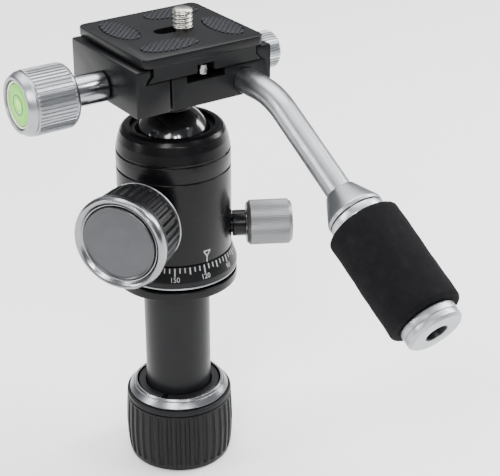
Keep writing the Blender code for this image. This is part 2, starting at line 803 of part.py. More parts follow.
def build_housing(column):
    """The housing that pans, with the seats, the block and the spring inside it."""
    pivot = pivot_at("housing pivot", (0.0, 0.0, PAN_Z), column)
    profile = [
        (MOUTH_R, HOUSING_TOP_Z - GAP),
        (MOUTH_R + GAP, HOUSING_TOP_Z),
        (RIM_R, HOUSING_TOP_Z),
    ]
    profile += [(HOUSING_R - inset * MM, HOUSING_TOP_Z - drop * MM) for inset, drop in reversed(SHOULDER)]
    profile += [
        *groove(HOUSING_R - GAP / 2, HOUSING_TOP_Z - UPPER_GROOVE_DROP),
        (HOUSING_R, HOUSING_TOP_Z - STRAIGHT_DROP),
        *groove(HOUSING_R, HOUSING_TOP_Z - LOWER_GROOVE_DROP),
        (HOUSING_R, HOUSING_Z),
        (CAVITY_R, HOUSING_Z),
        (CAVITY_R, HOUSING_TOP_Z - LIP_THICK),
        (MOUTH_R, HOUSING_TOP_Z - LIP_THICK),
    ]
    housing = turned("housing", profile, "black_satin", pivot, steps=FINE_STEPS)
    turntable = turned(
        "pan_turntable",
        [
            (HUB_R + GAP, HUB_TOP_Z),
            (INSERT_R, HUB_TOP_Z),
            (INSERT_R, HOUSING_Z),
            (BEARING_OUT_R + GAP, HOUSING_Z),
            (BEARING_OUT_R + GAP, HOUSING_Z + BEARING_SINK),
            (BEARING_IN_R - GAP, HOUSING_Z + BEARING_SINK),
            (BEARING_IN_R - GAP, HOUSING_Z),
            (HUB_R + GAP, HOUSING_Z),
        ],
        "satin_aluminium",
        pivot,
    )
    pan_hole = round_cutter(
        "pan screw hole", PAN_SCREW_R + GAP, HUB_R - PASS, HOUSING_R + PASS, (0, 0, PAN_Z), PAN_AXIS
    )
    cut(housing, pan_hole)
    cut(turntable, pan_hole)
    lock_hole = round_cutter(
        "lock screw hole", LOCK_SCREW_R + GAP, LOCK_WEDGE_TIP - GAP, HOUSING_R + PASS, (0, 0, LOCK_Z), LOCK_AXIS
    )
    cut(housing, lock_hole)
    block = rod("pressure_block", INSERT_R, BLOCK_Z, BLOCK_Z + BLOCK_HEIGHT, "brass", pivot, steps=STEPS)
    cut(block, lock_hole)
    turned(
        "cup_spring",
        ring_profile(SPRING_IN_R, SPRING_OUT_R, SPRING_Z, SPRING_Z + SPRING_THICK),
        "steel",
        pivot,
    )
    build_seats(pivot)
    return pivot


def build_seats(pivot):
    """The cup below the ball and the seat above it."""
    hole_h = BALL_Z - math.sqrt(SEAT_R**2 - CUP_HOLE_R**2)
    turned(
        "ball_cup",
        [
            (INSERT_R, BALL_Z - CUP_RIM_DROP),
            (INSERT_R, CUP_Z),
            (CUP_HOLE_R, CUP_Z),
            *sphere_profile(SEAT_R, BALL_Z, hole_h, BALL_Z - CUP_RIM_DROP),
        ],
        "acetal",
        pivot,
    )
    top_z = HOUSING_TOP_Z - LIP_THICK - GAP
    turned(
        "upper_seat",
        [
            (INSERT_R, top_z),
            (INSERT_R, BALL_Z + GAP),
            *sphere_profile(SEAT_R, BALL_Z, BALL_Z + GAP, top_z, count=5),
        ],
        "acetal",
        pivot,
        steps=FINE_STEPS,
    )


def build_lock_knob(housing):
    """The main knob, its screw, and the wedge that the screw drives into the block."""
    at = (0.0, 0.0, LOCK_Z)
    wedge_pivot = pivot_at("lock wedge pivot", at, housing)
    pivot = pivot_at("lock knob pivot", at, wedge_pivot)
    wedge_end = LOCK_WEDGE_TIP + LOCK_WEDGE_LENGTH
    turned(
        "lock_wedge",
        [
            (0.0, wedge_end),
            (LOCK_SCREW_R, wedge_end),
            (LOCK_SCREW_R, LOCK_WEDGE_TIP + LOCK_WEDGE_LENGTH / 2),
            (LOCK_SCREW_R / 3, LOCK_WEDGE_TIP),
            (0.0, LOCK_WEDGE_TIP),
        ],
        "steel",
        wedge_pivot,
        at,
        LOCK_AXIS,
        COARSE_STEPS,
    )
    ring_z = LOCK_FRONT - LOCK_RING_LENGTH
    cap_z = LOCK_FRONT - LOCK_CAP_SINK - LOCK_CAP_THICK
    core_r = LOCK_BACK_R - LOCK_GRIP_WALL - GAP
    screw_end = cap_z - 3 * GAP
    rod("lock_screw", LOCK_SCREW_R, wedge_end + GAP, screw_end, "steel", pivot, at, LOCK_AXIS)
    turned(
        "lock_knob_hub",
        [
            (0.0, cap_z - GAP),
            (core_r, cap_z - GAP),
            (core_r, LOCK_BACK),
            (LOCK_BOSS_R, LOCK_BACK),
            (LOCK_BOSS_R, HOUSING_R + 2 * GAP),
            (LOCK_SCREW_R + GAP, HOUSING_R + 2 * GAP),
            (LOCK_SCREW_R + GAP, screw_end + GAP),
            (0.0, screw_end + GAP),
        ],
        "black_satin",
        pivot,
        at,
        LOCK_AXIS,
    )
    turned(
        "lock_knob_grip",
        [
            (core_r + GAP, ring_z - GAP),
            (LOCK_RING_R - 2 * GAP, ring_z - GAP),
            (LOCK_BACK_R + GAP, LOCK_BACK + GAP),
            (LOCK_BACK_R, LOCK_BACK),
            (core_r + GAP, LOCK_BACK),
        ],
        "rubber",
        pivot,
        at,
        LOCK_AXIS,
        FINE_STEPS,
    )
    turned(
        "lock_knob_ring",
        [
            (LOCK_CAP_R + GAP, LOCK_FRONT - GAP),
            *round_corner(LOCK_RING_R - LOCK_RING_ROUND, LOCK_FRONT - LOCK_RING_ROUND, LOCK_RING_ROUND, 90.0, 0.0, 5),
            (LOCK_RING_R, ring_z),
            (LOCK_CAP_R + GAP, ring_z),
        ],
        "satin_aluminium",
        pivot,
        at,
        LOCK_AXIS,
        FINE_STEPS,
    )
    cap_top = cap_z + LOCK_CAP_THICK
    turned(
        "lock_knob_cap",
        [
            (0.0, cap_top + LOCK_CAP_DOME),
            (LOCK_CAP_R / 2, cap_top + LOCK_CAP_DOME * 3 / 4),
            (LOCK_CAP_R - 2 * GAP, cap_top),
            (LOCK_CAP_R, cap_top - GAP),
            (LOCK_CAP_R, cap_z),
            (0.0, cap_z),
        ],
        "disc_grey",
        pivot,
        at,
        LOCK_AXIS,
        FINE_STEPS,
    )


def build_pan_knob(housing):
    """The pan lock knob, its screw, and the pad that the screw presses on the hub."""
    at = (0.0, 0.0, PAN_Z)
    pad_pivot = pivot_at("pan pad pivot", at, housing)
    pivot = pivot_at("pan knob pivot", at, pad_pivot)
    pad_end = HUB_R + GAP + PAN_PAD_LENGTH
    rod("pan_lock_pad", PAN_SCREW_R - GAP, HUB_R + GAP, pad_end, "nylon", pad_pivot, at, PAN_AXIS)
    screw_end = (PAN_KNOB_BACK + PAN_KNOB_FRONT) / 2
    rod("pan_screw", PAN_SCREW_R, pad_end + GAP, screw_end, "steel", pivot, at, PAN_AXIS)
    turned(
        "pan_knob_stem",
        ring_profile(PAN_SCREW_R + GAP, PAN_STEM_R, HOUSING_R + GAP, PAN_KNOB_BACK - GAP),
        "black_gloss",
        pivot,
        at,
        PAN_AXIS,
        STEPS,
    )
    turned(
        "pan_knob_head",
        [
            (0.0, PAN_KNOB_FRONT),
            (PAN_KNOB_R - PAN_KNOB_CHAMFER, PAN_KNOB_FRONT),
            (PAN_KNOB_R, PAN_KNOB_FRONT - PAN_KNOB_CHAMFER),
            (PAN_KNOB_R, PAN_KNOB_BACK + PAN_KNOB_CHAMFER),
            (PAN_KNOB_R - PAN_KNOB_CHAMFER, PAN_KNOB_BACK),
            (PAN_SCREW_R + GAP, PAN_KNOB_BACK),
            (PAN_SCREW_R + GAP, screw_end + GAP),
            (0.0, screw_end + GAP),
        ],
        "satin_aluminium",
        pivot,
        at,
        PAN_AXIS,
        FINE_STEPS,
    )


def build_ball(housing):
    """The ball, and the neck that stands on it."""
    centre = (0.0, 0.0, BALL_Z)
    ball_pivot = pivot_at("ball pivot", centre, housing)
    neck_pivot = pivot_at("neck pivot", centre, ball_pivot)

    def build(bm):
        bmesh.ops.create_uvsphere(bm, u_segments=BALL_SIDES, v_segments=BALL_RINGS, radius=BALL_R)

    shade(placed(mesh_of("ball", build), "ball", "black_gloss", ball_pivot, centre))
    bore_r = CLAMP_SCREW_R + GAP
    seat_h = [BALL_Z + math.sqrt(SEAT_R**2 - radius**2) for radius in (NECK_R, bore_r)]
    turned(
        "ball_neck",
        [
            (bore_r, NECK_TOP_Z),
            (NECK_R - GAP, NECK_TOP_Z),
            (NECK_R, NECK_TOP_Z - GAP),
            *sphere_profile(SEAT_R, BALL_Z, seat_h[0], seat_h[1], count=4),
        ],
        "steel",
        neck_pivot,
    )
    return neck_pivot


def clamp_section(sign, inner_x):
    """Section of one side of the clamp, from a plane inside it out to its lip."""
    outer_x = CLAMP_WIDTH / 2
    foot_x = LIP_INNER_X + DOVETAIL_HEIGHT
    points = [
        (inner_x, CLAMP_FOOT_Z),
        (outer_x, CLAMP_FOOT_Z),
        (outer_x, CLAMP_TOP_Z),
        (LIP_INNER_X, CLAMP_TOP_Z),
        (LIP_INNER_X, CLAMP_FLOOR_Z + DOVETAIL_HEIGHT),
        (foot_x, CLAMP_FLOOR_Z),
        (inner_x, CLAMP_FLOOR_Z),
    ]
    return [(sign * x, z) for x, z in points]


def build_clamp(neck):
    """The clamp's fixed body, its screw into the neck, and the pins that guide the jaw."""
    pivot = pivot_at("clamp pivot", (0.0, 0.0, CLAMP_FOOT_Z), neck)
    body = bar_along_y(
        "clamp_body", clamp_section(1, JAW_SPLIT_X + GAP), CLAMP_LENGTH, "black_anodised", pivot
    )
    soften(body, CLAMP_BEVEL)
    web_y = STOP_SCREW_Y - STOP_SCREW_R - PLATE_TRAVEL - GAP
    for side, name in ((-1, "front recess"), (1, "rear recess")):
        near, far = side * web_y, side * (CLAMP_LENGTH / 2 + PASS)
        low = (RECESS_LEFT_X, min(near, far), RECESS_FLOOR_Z)
        high = (RECESS_RIGHT_X, max(near, far), CLAMP_FLOOR_Z + PASS)
        cut(body, box_cutter(name, low, high))
    head_z = CLAMP_FLOOR_Z - CLAMP_SCREW_HEAD - GAP
    shank_cut = round_cutter("clamp screw hole", CLAMP_SCREW_R + GAP, CLAMP_FOOT_Z - PASS, CLAMP_FLOOR_Z)
    head_cut = round_cutter("clamp screw seat", CLAMP_SCREW_HEAD_R + GAP, head_z - GAP, CLAMP_FLOOR_Z + PASS)
    cut(body, shank_cut)
    cut(body, head_cut)
    bolt_reach = JAW_SPLIT_X + CLAMP_BOLT_IN_BODY + GAP
    bolt_hole = round_cutter(
        "clamp bolt hole", CLAMP_BOLT_R + GAP, -CLAMP_WIDTH, bolt_reach, (0, 0, CLAMP_KNOB_Z), X_AXIS
    )
    cut(body, bolt_hole)
    stub_hole = round_cutter(
        "handle bore",
        HANDLE_ARM_R + GAP,
        -CLAMP_LENGTH,
        HANDLE_BORE_END_Y,
        (HANDLE_X, 0, HANDLE_Z),
        Y_AXIS,
    )
    cut(body, stub_hole)
    thumb_hole = round_cutter(
        "handle lock hole", HANDLE_LOCK_SCREW_R + GAP, HANDLE_X, CLAMP_WIDTH, (0, 0, HANDLE_Z), X_AXIS
    )
    cut(body, thumb_hole)
    turned(
        "clamp_screw",
        [
            (0.0, head_z + CLAMP_SCREW_HEAD - HEX_SOCKET_DEPTH),
            (HEX_SOCKET_R, head_z + CLAMP_SCREW_HEAD - HEX_SOCKET_DEPTH),
            (HEX_SOCKET_R, head_z + CLAMP_SCREW_HEAD),
            (CLAMP_SCREW_HEAD_R, head_z + CLAMP_SCREW_HEAD),
            (CLAMP_SCREW_HEAD_R, head_z),
            (CLAMP_SCREW_R, head_z),
            (CLAMP_SCREW_R, BALL_Z + SEAT_R + GAP),
            (0.0, BALL_Z + SEAT_R + GAP),
        ],
        "steel",
        pivot,
    )
    pin_start, pin_end = JAW_SPLIT_X - GUIDE_PIN_IN_JAW, JAW_SPLIT_X + GUIDE_PIN_IN_BODY
    pin_holes = []
    for number, side in enumerate((-1, 1)):
        at = (0.0, side * GUIDE_PIN_Y, CLAMP_KNOB_Z)
        hole = round_cutter(
            f"guide pin hole {number + 1}", GUIDE_PIN_R + GAP, pin_start - GAP, pin_end + GAP, at, X_AXIS
        )
        cut(body, hole)
        pin_holes.append(hole)
        rod(f"guide_pin_{number + 1}", GUIDE_PIN_R, pin_start, pin_end, "steel", pivot, at, X_AXIS)
    build_jaw(pivot, [bolt_hole, *pin_holes])
    return pivot


def build_jaw(clamp, holes):
    """The jaw that slides, and the knob that draws it in."""
    at = (0.0, 0.0, CLAMP_KNOB_Z)
    pivot = pivot_at("jaw pivot", at, clamp)
    jaw = bar_along_y(
        "moving_jaw", clamp_section(-1, -JAW_SPLIT_X + GAP), CLAMP_LENGTH, "black_anodised", pivot
    )
    soften(jaw, CLAMP_BEVEL)
    for hole in holes:
        cut(jaw, hole)
    build_clamp_knob(pivot_at("clamp knob pivot", at, pivot), at)


def build_clamp_knob(pivot, at):
    """Bolt, polished shaft, knurled head and the bubble level in its end. Heights run outwards along -X."""
    outwards = -X_AXIS
    shaft_start = CLAMP_WIDTH / 2 + GAP
    shaft_end = CLAMP_KNOB_BACK - GAP
    bolt_start = -JAW_SPLIT_X - CLAMP_BOLT_IN_BODY
    level_floor = CLAMP_KNOB_FRONT - LEVEL_DEPTH
    bolt_end = level_floor - 2 * PASS
    rod("clamp_bolt", CLAMP_BOLT_R, bolt_start, bolt_end, "steel", pivot, at, outwards)
    turned(
        "clamp_knob_shaft",
        ring_profile(CLAMP_BOLT_R + GAP, CLAMP_SHAFT_R, shaft_start, shaft_end),
        "satin_aluminium",
        pivot,
        at,
        outwards,
    )
    bore_r = CLAMP_BOLT_R + GAP
    back_round = round_corner(
        CLAMP_KNOB_R - CLAMP_KNOB_BACK_ROUND,
        CLAMP_KNOB_BACK + CLAMP_KNOB_BACK_ROUND,
        CLAMP_KNOB_BACK_ROUND,
        0.0,
        -90.0,
    )
    turned(
        "clamp_knob_head",
        [
            (0.0, level_floor),
            (LEVEL_BORE_R, level_floor),
            (LEVEL_BORE_R, CLAMP_KNOB_FRONT),
            (CLAMP_KNOB_FACE_R - GAP, CLAMP_KNOB_FRONT),
            (CLAMP_KNOB_FACE_R, CLAMP_KNOB_FRONT - GAP),
            (CLAMP_KNOB_R, CLAMP_KNOB_FRONT - CLAMP_KNOB_CHAMFER),
            *back_round,
            (bore_r, CLAMP_KNOB_BACK),
            (bore_r, bolt_end + GAP),
            (0.0, bolt_end + GAP),
        ],
        "satin_aluminium",
        pivot,
        at,
        outwards,
        FINE_STEPS,
    )
    cup_r = LEVEL_BORE_R - GAP
    cup_floor = level_floor + GAP
    vial_r = cup_r - LEVEL_CUP_WALL - GAP
    vial_floor = cup_floor + LEVEL_CUP_FLOOR + GAP
    cup_top = CLAMP_KNOB_FRONT - 2 * GAP
    turned(
        "level_cup",
        [
            (0.0, cup_floor + LEVEL_CUP_FLOOR),
            (cup_r - LEVEL_CUP_WALL, cup_floor + LEVEL_CUP_FLOOR),
            (cup_r - LEVEL_CUP_WALL, cup_top),
            (cup_r, cup_top),
            (cup_r, cup_floor),
            (0.0, cup_floor),
        ],
        "level_white",
        pivot,
        at,
        outwards,
    )
    turned(
        "level_vial",
        [
            (0.0, cup_top + LEVEL_DOME),
            (vial_r / 2, cup_top + LEVEL_DOME * 3 / 4),
            (vial_r, cup_top),
            (vial_r, vial_floor),
            (0.0, vial_floor),
        ],
        "level_green",
        pivot,
        at,
        outwards,
    )


def build_plate(clamp):
    """The quick-release plate with its pads, stop screws and camera screw."""
    pivot = pivot_at("plate pivot", (0.0, 0.0, PLATE_FOOT_Z), clamp)
    outline = rounded_rectangle(PLATE_WIDTH / 2, PLATE_LENGTH / 2, PLATE_CORNER_R)
    slab = flat_outline("plate", outline, PLATE_SLAB)
    plate = placed(slab, "plate", "black_anodised", pivot, (0.0, 0.0, PLATE_TOP_Z - PLATE_SLAB / 2))
    soften(plate, PLATE_BEVEL)
    join(plate, dovetail_bar())
    slot_r = CAMERA_SCREW_NECK_R + GAP
    slot = flat_outline("screw slot", slot_outline(SLOT_LEFT_X, SLOT_RIGHT_X, slot_r), 4 * PLATE_SLAB)
    cut(plate, helper(slot, "screw slot", (0.0, 0.0, PLATE_TOP_Z)))
    roof_z = PLATE_FOOT_Z + CHANNEL_DEPTH
    channel_points = slot_outline(SLOT_LEFT_X - GAP, SLOT_RIGHT_X + GAP, CHANNEL_HALF)
    channel = flat_outline("head channel", channel_points, 2 * CHANNEL_DEPTH)
    cut(plate, helper(channel, "head channel", (0.0, 0.0, roof_z - CHANNEL_DEPTH)))
    build_pads(plate, pivot)
    build_stop_screws(plate, pivot)
    build_camera_screw(pivot, roof_z)


def dovetail_bar():
    """The bar under the plate's slab that the jaws hold, a little shorter than the slab."""
    foot_x = PLATE_NECK_X + DOVETAIL_HEIGHT
    shoulder_z = PLATE_FOOT_Z + DOVETAIL_HEIGHT
    inside_slab_z = PLATE_SLAB_Z + PLATE_SLAB / 3
    right = [(foot_x, PLATE_FOOT_Z), (PLATE_NECK_X, shoulder_z), (PLATE_NECK_X, inside_slab_z)]
    section = right + [(-x, z) for x, z in reversed(right)]
    mesh = flat_outline("dovetail bar", section, PLATE_LENGTH - GAP)
    mesh.transform(Matrix.Rotation(math.radians(90.0), 4, "X"))
    return helper(mesh, "dovetail bar", (0.0, 0.0, 0.0))


def build_pads(plate, pivot):
    """Four oval rubber pads, let into the plate's top."""
    for number, (x, y, turn) in enumerate(PADS, start=1):
        pocket = ellipse(x * MM, y * MM, PAD_LONG / 2 + GAP, PAD_SHORT / 2 + GAP, turn)
        floor_z = PLATE_TOP_Z + PAD_PROUD - PAD_THICK - GAP
        mesh = flat_outline(f"pad pocket {number}", pocket, 2 * (PLATE_TOP_Z - floor_z))
        cut(plate, helper(mesh, f"pad pocket {number}", (0.0, 0.0, PLATE_TOP_Z)))
        outline = ellipse(0.0, 0.0, PAD_LONG / 2, PAD_SHORT / 2, turn)
        mesh = flat_outline(f"pad_{number}", outline, PAD_THICK)
        at = (x * MM, y * MM, floor_z + GAP + PAD_THICK / 2)
        placed(mesh, f"pad_{number}", "rubber", pivot, at)


def build_stop_screws(plate, pivot):
    """A small screw under each end of the plate, which keeps it from sliding out."""
    top_z = STOP_SCREW_FOOT_Z + STOP_SCREW_HEAD
    notch_z = PLATE_FOOT_Z + STOP_NOTCH_DEPTH
    shank_top = notch_z + 1.2 * PASS
    for name, side in (("front", -1), ("rear", 1)):
        at = (0.0, side * STOP_SCREW_Y, 0.0)
        far = side * (PLATE_LENGTH / 2 + PASS)
        near = side * (STOP_SCREW_Y - STOP_NOTCH_R)
        low = (-STOP_NOTCH_R, min(near, far), PLATE_FOOT_Z - PASS)
        high = (STOP_NOTCH_R, max(near, far), notch_z)
        cut(plate, box_cutter(f"{name} stop notch", low, high))
        hole = round_cutter(f"{name} stop hole", STOP_SHANK_R + GAP, notch_z - PASS, shank_top + GAP, at)
        cut(plate, hole)
        turned(
            f"stop_screw_{name}",
            [
                (0.0, shank_top),
                (STOP_SHANK_R, shank_top),
                (STOP_SHANK_R, top_z),
                (STOP_SCREW_R, top_z),
                (STOP_SCREW_R, STOP_SCREW_FOOT_Z),
                (0.0, STOP_SCREW_FOOT_Z),
            ],
            "nickel",
            pivot,
            at,
            steps=COARSE_STEPS,
        )


def build_camera_screw(plate, roof_z):
    """The captive washer that slides along the slot, and the 1/4 inch screw that turns in it."""
    washer_top = roof_z - GAP / 2
    at = (SLOT_RIGHT_X, 0.0, 0.0)
    slide_pivot = pivot_at("washer pivot", at, plate)
    pivot = pivot_at("camera screw pivot", at, slide_pivot)
    turned(
        "screw_washer",
        ring_profile(CAMERA_SCREW_NECK_R + GAP / 2, WASHER_R, washer_top - WASHER_THICK, washer_top),
        "steel",
        slide_pivot,
        at,
        steps=STEPS,
    )
    head_top = washer_top - WASHER_THICK - GAP / 2
    thread_z = PLATE_TOP_Z + GAP
    screw = turned(
        "camera_screw",
        [
            (0.0, thread_z + CAMERA_SCREW_LENGTH),
            (CAMERA_SCREW_R - 3 * GAP, thread_z + CAMERA_SCREW_LENGTH),
            (CAMERA_SCREW_R, thread_z + CAMERA_SCREW_LENGTH - 3 * GAP),
            (CAMERA_SCREW_R, thread_z),
            (CAMERA_SCREW_NECK_R, thread_z),
            (CAMERA_SCREW_NECK_R, head_top),
            (CAMERA_SCREW_HEAD_R, head_top),
            (CAMERA_SCREW_HEAD_R, head_top - CAMERA_SCREW_HEAD),
            (0.0, head_top - CAMERA_SCREW_HEAD),
        ],
        "nickel",
        pivot,
        at,
        steps=STEPS,
    )
    head_foot = head_top - CAMERA_SCREW_HEAD
    low = (SLOT_RIGHT_X - CAMERA_SCREW_HEAD_R - PASS, -DRIVER_SLOT / 2, head_foot - PASS)
    high = (SLOT_RIGHT_X + CAMERA_SCREW_HEAD_R + PASS, DRIVER_SLOT / 2, head_foot + DRIVER_SLOT_DEPTH)
    cut(screw, box_cutter("driver slot", low, high))


def bend_points():
    """The handle arm's path: a stub along Y, a bend, and a straight run down to the grip."""
    tangent = HANDLE_BEND_R * math.tan(HANDLE_DROP / 2)
    start_y = HANDLE_BEND_Y + tangent
    centre = Vector((HANDLE_X, start_y, HANDLE_Z - HANDLE_BEND_R))
    points = [Vector((HANDLE_X, HANDLE_STUB_END_Y, HANDLE_Z))]
    for i in range(BEND_POINTS):
        angle = HANDLE_DROP * i / (BEND_POINTS - 1)
        points.append(centre + HANDLE_BEND_R * Vector((0.0, -math.sin(angle), math.cos(angle))))
    points.append(HANDLE_CORNER + HANDLE_DIRECTION * ARM_END)
    return points


def build_handle(clamp):
    """The pan handle: a bent arm with a ferrule, a ring, a foam grip and an end cap on it."""
    pivot = pivot_at("handle pivot", (HANDLE_X, 0.0, HANDLE_Z), clamp)
    curve = bpy.data.curves.new("handle_arm", "CURVE")
    curve.dimensions = "3D"
    curve.bevel_depth = HANDLE_ARM_R
    curve.bevel_resolution = 4
    curve.use_fill_caps = True
    spline = curve.splines.new("POLY")
    path = bend_points()
    spline.points.add(len(path) - 1)
    for point, co in zip(spline.points, path):
        point.co = (*co, 1.0)
    placed(curve, "handle_arm", "satin_aluminium", pivot)
    bore_r = HANDLE_ARM_R + GAP
    along = {"at": HANDLE_CORNER, "axis": HANDLE_DIRECTION, "steps": FINE_STEPS}
    turned(
        "handle_ferrule",
        [
            (bore_r, FERRULE_END),
            (FERRULE_R, FERRULE_END),
            (FERRULE_R, FERRULE_END - FERRULE_LAND),
            (FERRULE_THIN_R, FERRULE_START),
            (bore_r, FERRULE_START),
        ],
        "satin_aluminium",
        pivot,
        **along,
    )
    ring_start = FERRULE_END + GAP
    ring_end = ring_start + FERRULE_RING_LENGTH
    turned(
        "ferrule_ring",
        ring_profile(bore_r, FERRULE_R, ring_start, ring_end),
        "satin_aluminium",
        pivot,
        **along,
    )
    foam_start = ring_end + GAP
    foam_end = foam_start + FOAM_LENGTH
    turned(
        "foam_grip",
        [
            (bore_r, foam_end),
            *round_corner(FOAM_R - FOAM_ROUND, foam_end - FOAM_ROUND, FOAM_ROUND, 90.0, 0.0),
            *round_corner(FOAM_R - FOAM_ROUND, foam_start + FOAM_ROUND, FOAM_ROUND, 0.0, -90.0),
            (bore_r, foam_start),
        ],
        "foam",
        pivot,
        **along,
    )
    cap_start = foam_end + GAP
    cap_end = cap_start + END_CAP_LENGTH
    turned(
        "handle_end_cap",
        [
            (END_CAP_HOLE_R, cap_end),
            (END_CAP_R - END_CAP_CHAMFER, cap_end),
            (END_CAP_R, cap_end - END_CAP_CHAMFER),
            (END_CAP_R, cap_start),
            (bore_r, cap_start),
            (bore_r, cap_end - END_CAP_FACE),
            (END_CAP_HOLE_R, cap_end - END_CAP_FACE),
        ],
        "satin_aluminium",
        pivot,
        **along,
    )


def build_handle_lock(clamp):
    """The thumbscrew that holds the handle's stub, and the nylon tip in front of it."""
    at = (0.0, 0.0, HANDLE_Z)
    tip_pivot = pivot_at("handle lock tip pivot", at, clamp)
    pivot = pivot_at("handle lock pivot", at, tip_pivot)
    tip_start = HANDLE_X + HANDLE_ARM_R + GAP
    tip_end = tip_start + HANDLE_LOCK_TIP
    rod("handle_lock_tip", HANDLE_LOCK_SCREW_R - GAP, tip_start, tip_end, "nylon", tip_pivot, at, X_AXIS)
    neck_start = CLAMP_WIDTH / 2 + GAP
    chamfer = KNOB_FACE_CHAMFER
    turned(
        "handle_lock_knob",
        [
            (0.0, HANDLE_LOCK_FRONT),
            (HANDLE_LOCK_R - chamfer, HANDLE_LOCK_FRONT),
            (HANDLE_LOCK_R, HANDLE_LOCK_FRONT - chamfer),
            (HANDLE_LOCK_R, HANDLE_LOCK_BACK + chamfer),
            (HANDLE_LOCK_R - chamfer, HANDLE_LOCK_BACK),
            (HANDLE_LOCK_NECK_R, HANDLE_LOCK_BACK),
            (HANDLE_LOCK_NECK_R, neck_start),
            (HANDLE_LOCK_SCREW_R, neck_start),
            (HANDLE_LOCK_SCREW_R, tip_end + GAP),
            (0.0, tip_end + GAP),
        ],
        "satin_aluminium",
        pivot,
        at,
        X_AXIS,
        STEPS,
    )


def main():
    build_base()
    build_collar()
    column = build_column()
    housing = build_housing(column)
    build_lock_knob(housing)
    build_pan_knob(housing)
    neck = build_ball(housing)
    clamp = build_clamp(neck)
    build_plate(clamp)
    build_handle(clamp)
    build_handle_lock(clamp)


clear_scene()
PARTS = new_collection("pan handle ball head")
CUTTERS = new_collection("cutters", hidden=True)
main()
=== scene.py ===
"""Visual model of a pan-handle ball head on a sliding column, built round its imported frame.

Sizes are in millimetres inside the classes and in metres in the scene. A turned piece is shaped
about its own axis and then placed in its mesh, so every finished object stays at the origin.
"""

import json
import logging
import math
from dataclasses import dataclass, field
from enum import Enum
from typing import Callable, Sequence

import bmesh
import bpy
from mathutils import Matrix, Vector

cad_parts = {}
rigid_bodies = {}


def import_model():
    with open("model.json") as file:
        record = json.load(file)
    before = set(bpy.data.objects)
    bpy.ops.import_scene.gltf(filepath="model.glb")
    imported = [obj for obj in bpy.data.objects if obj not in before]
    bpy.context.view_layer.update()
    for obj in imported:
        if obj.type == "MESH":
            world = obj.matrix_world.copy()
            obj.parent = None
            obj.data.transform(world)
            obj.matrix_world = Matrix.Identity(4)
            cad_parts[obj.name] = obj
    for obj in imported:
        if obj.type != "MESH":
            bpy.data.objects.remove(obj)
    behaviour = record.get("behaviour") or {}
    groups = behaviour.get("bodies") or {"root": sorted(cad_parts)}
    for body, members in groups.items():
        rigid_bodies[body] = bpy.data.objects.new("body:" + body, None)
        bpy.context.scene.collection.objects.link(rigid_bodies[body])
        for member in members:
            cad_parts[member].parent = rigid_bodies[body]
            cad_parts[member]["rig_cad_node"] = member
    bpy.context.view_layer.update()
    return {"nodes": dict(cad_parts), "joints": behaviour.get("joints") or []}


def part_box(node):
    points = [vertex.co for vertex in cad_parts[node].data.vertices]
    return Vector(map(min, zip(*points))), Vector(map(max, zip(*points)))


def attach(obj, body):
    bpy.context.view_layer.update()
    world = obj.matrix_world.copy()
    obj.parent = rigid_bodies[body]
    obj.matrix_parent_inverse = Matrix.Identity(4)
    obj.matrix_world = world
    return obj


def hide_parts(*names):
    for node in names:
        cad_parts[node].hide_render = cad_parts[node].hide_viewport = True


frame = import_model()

MM = 0.001
LOG = logging.getLogger("ball_head")
CREASE = math.radians(32.0)  # faces that meet at more than this keep a sharp edge
KNURL_CREASE = math.radians(20.0)
FLAT = math.radians(0.6)  # faces of a copied solid that meet at less than this become one
SOFT_EDGE = math.radians(40.0)  # edges of a copied solid that are sharper than this are rounded
MERGE = 0.0005  # millimetres within which points become one
COPY_MERGE = 0.002  # the same for a copied solid
ON_AXIS = 0.01  # millimetres from the axis within which a point has no outward direction
LONGEST_ARC = 0.48  # how much of each side next to a corner its arc may take up
PAINT = 0.08  # how thick painted marks are, in millimetres

Corner = tuple[float, ...]  # radius, height and, where the corner is rounded, its radius
Push = Callable[[float, float, float], float]  # angle, height and radius to an outward step


# ---------------------------------------------------------------- places and shapes


def joint_of(name: str) -> dict:
    """The frame's joint of that name."""
    return next(joint for joint in frame["joints"] if joint["name"] == name)


@dataclass(frozen=True)
class Place:
    """Where a piece's own axis lies in the row frame."""

    origin: tuple[float, float, float] = (0.0, 0.0, 0.0)
    axis: tuple[float, float, float] = (0.0, 0.0, 1.0)

    def matrix(self) -> Matrix:
        """The map from the piece's own space, with its axis along Z, to the row frame.

        Returns:
            The map, with its shift in metres.
        """
        direction = Vector(self.axis).normalized()
        upright = direction.z > 0.99999
        turn = Matrix.Identity(3) if upright else direction.to_track_quat("Z", "Y").to_matrix()
        return Matrix.Translation(Vector(self.origin)) @ turn.to_4x4()

    @staticmethod
    def of_joint(name: str) -> "Place":
        """The axis of a joint, with its origin on the column's axis at the joint's height."""
        joint = joint_of(name)
        return Place((0.0, 0.0, joint["pos_m"][2]), tuple(joint["axis"]))


UPRIGHT = Place()


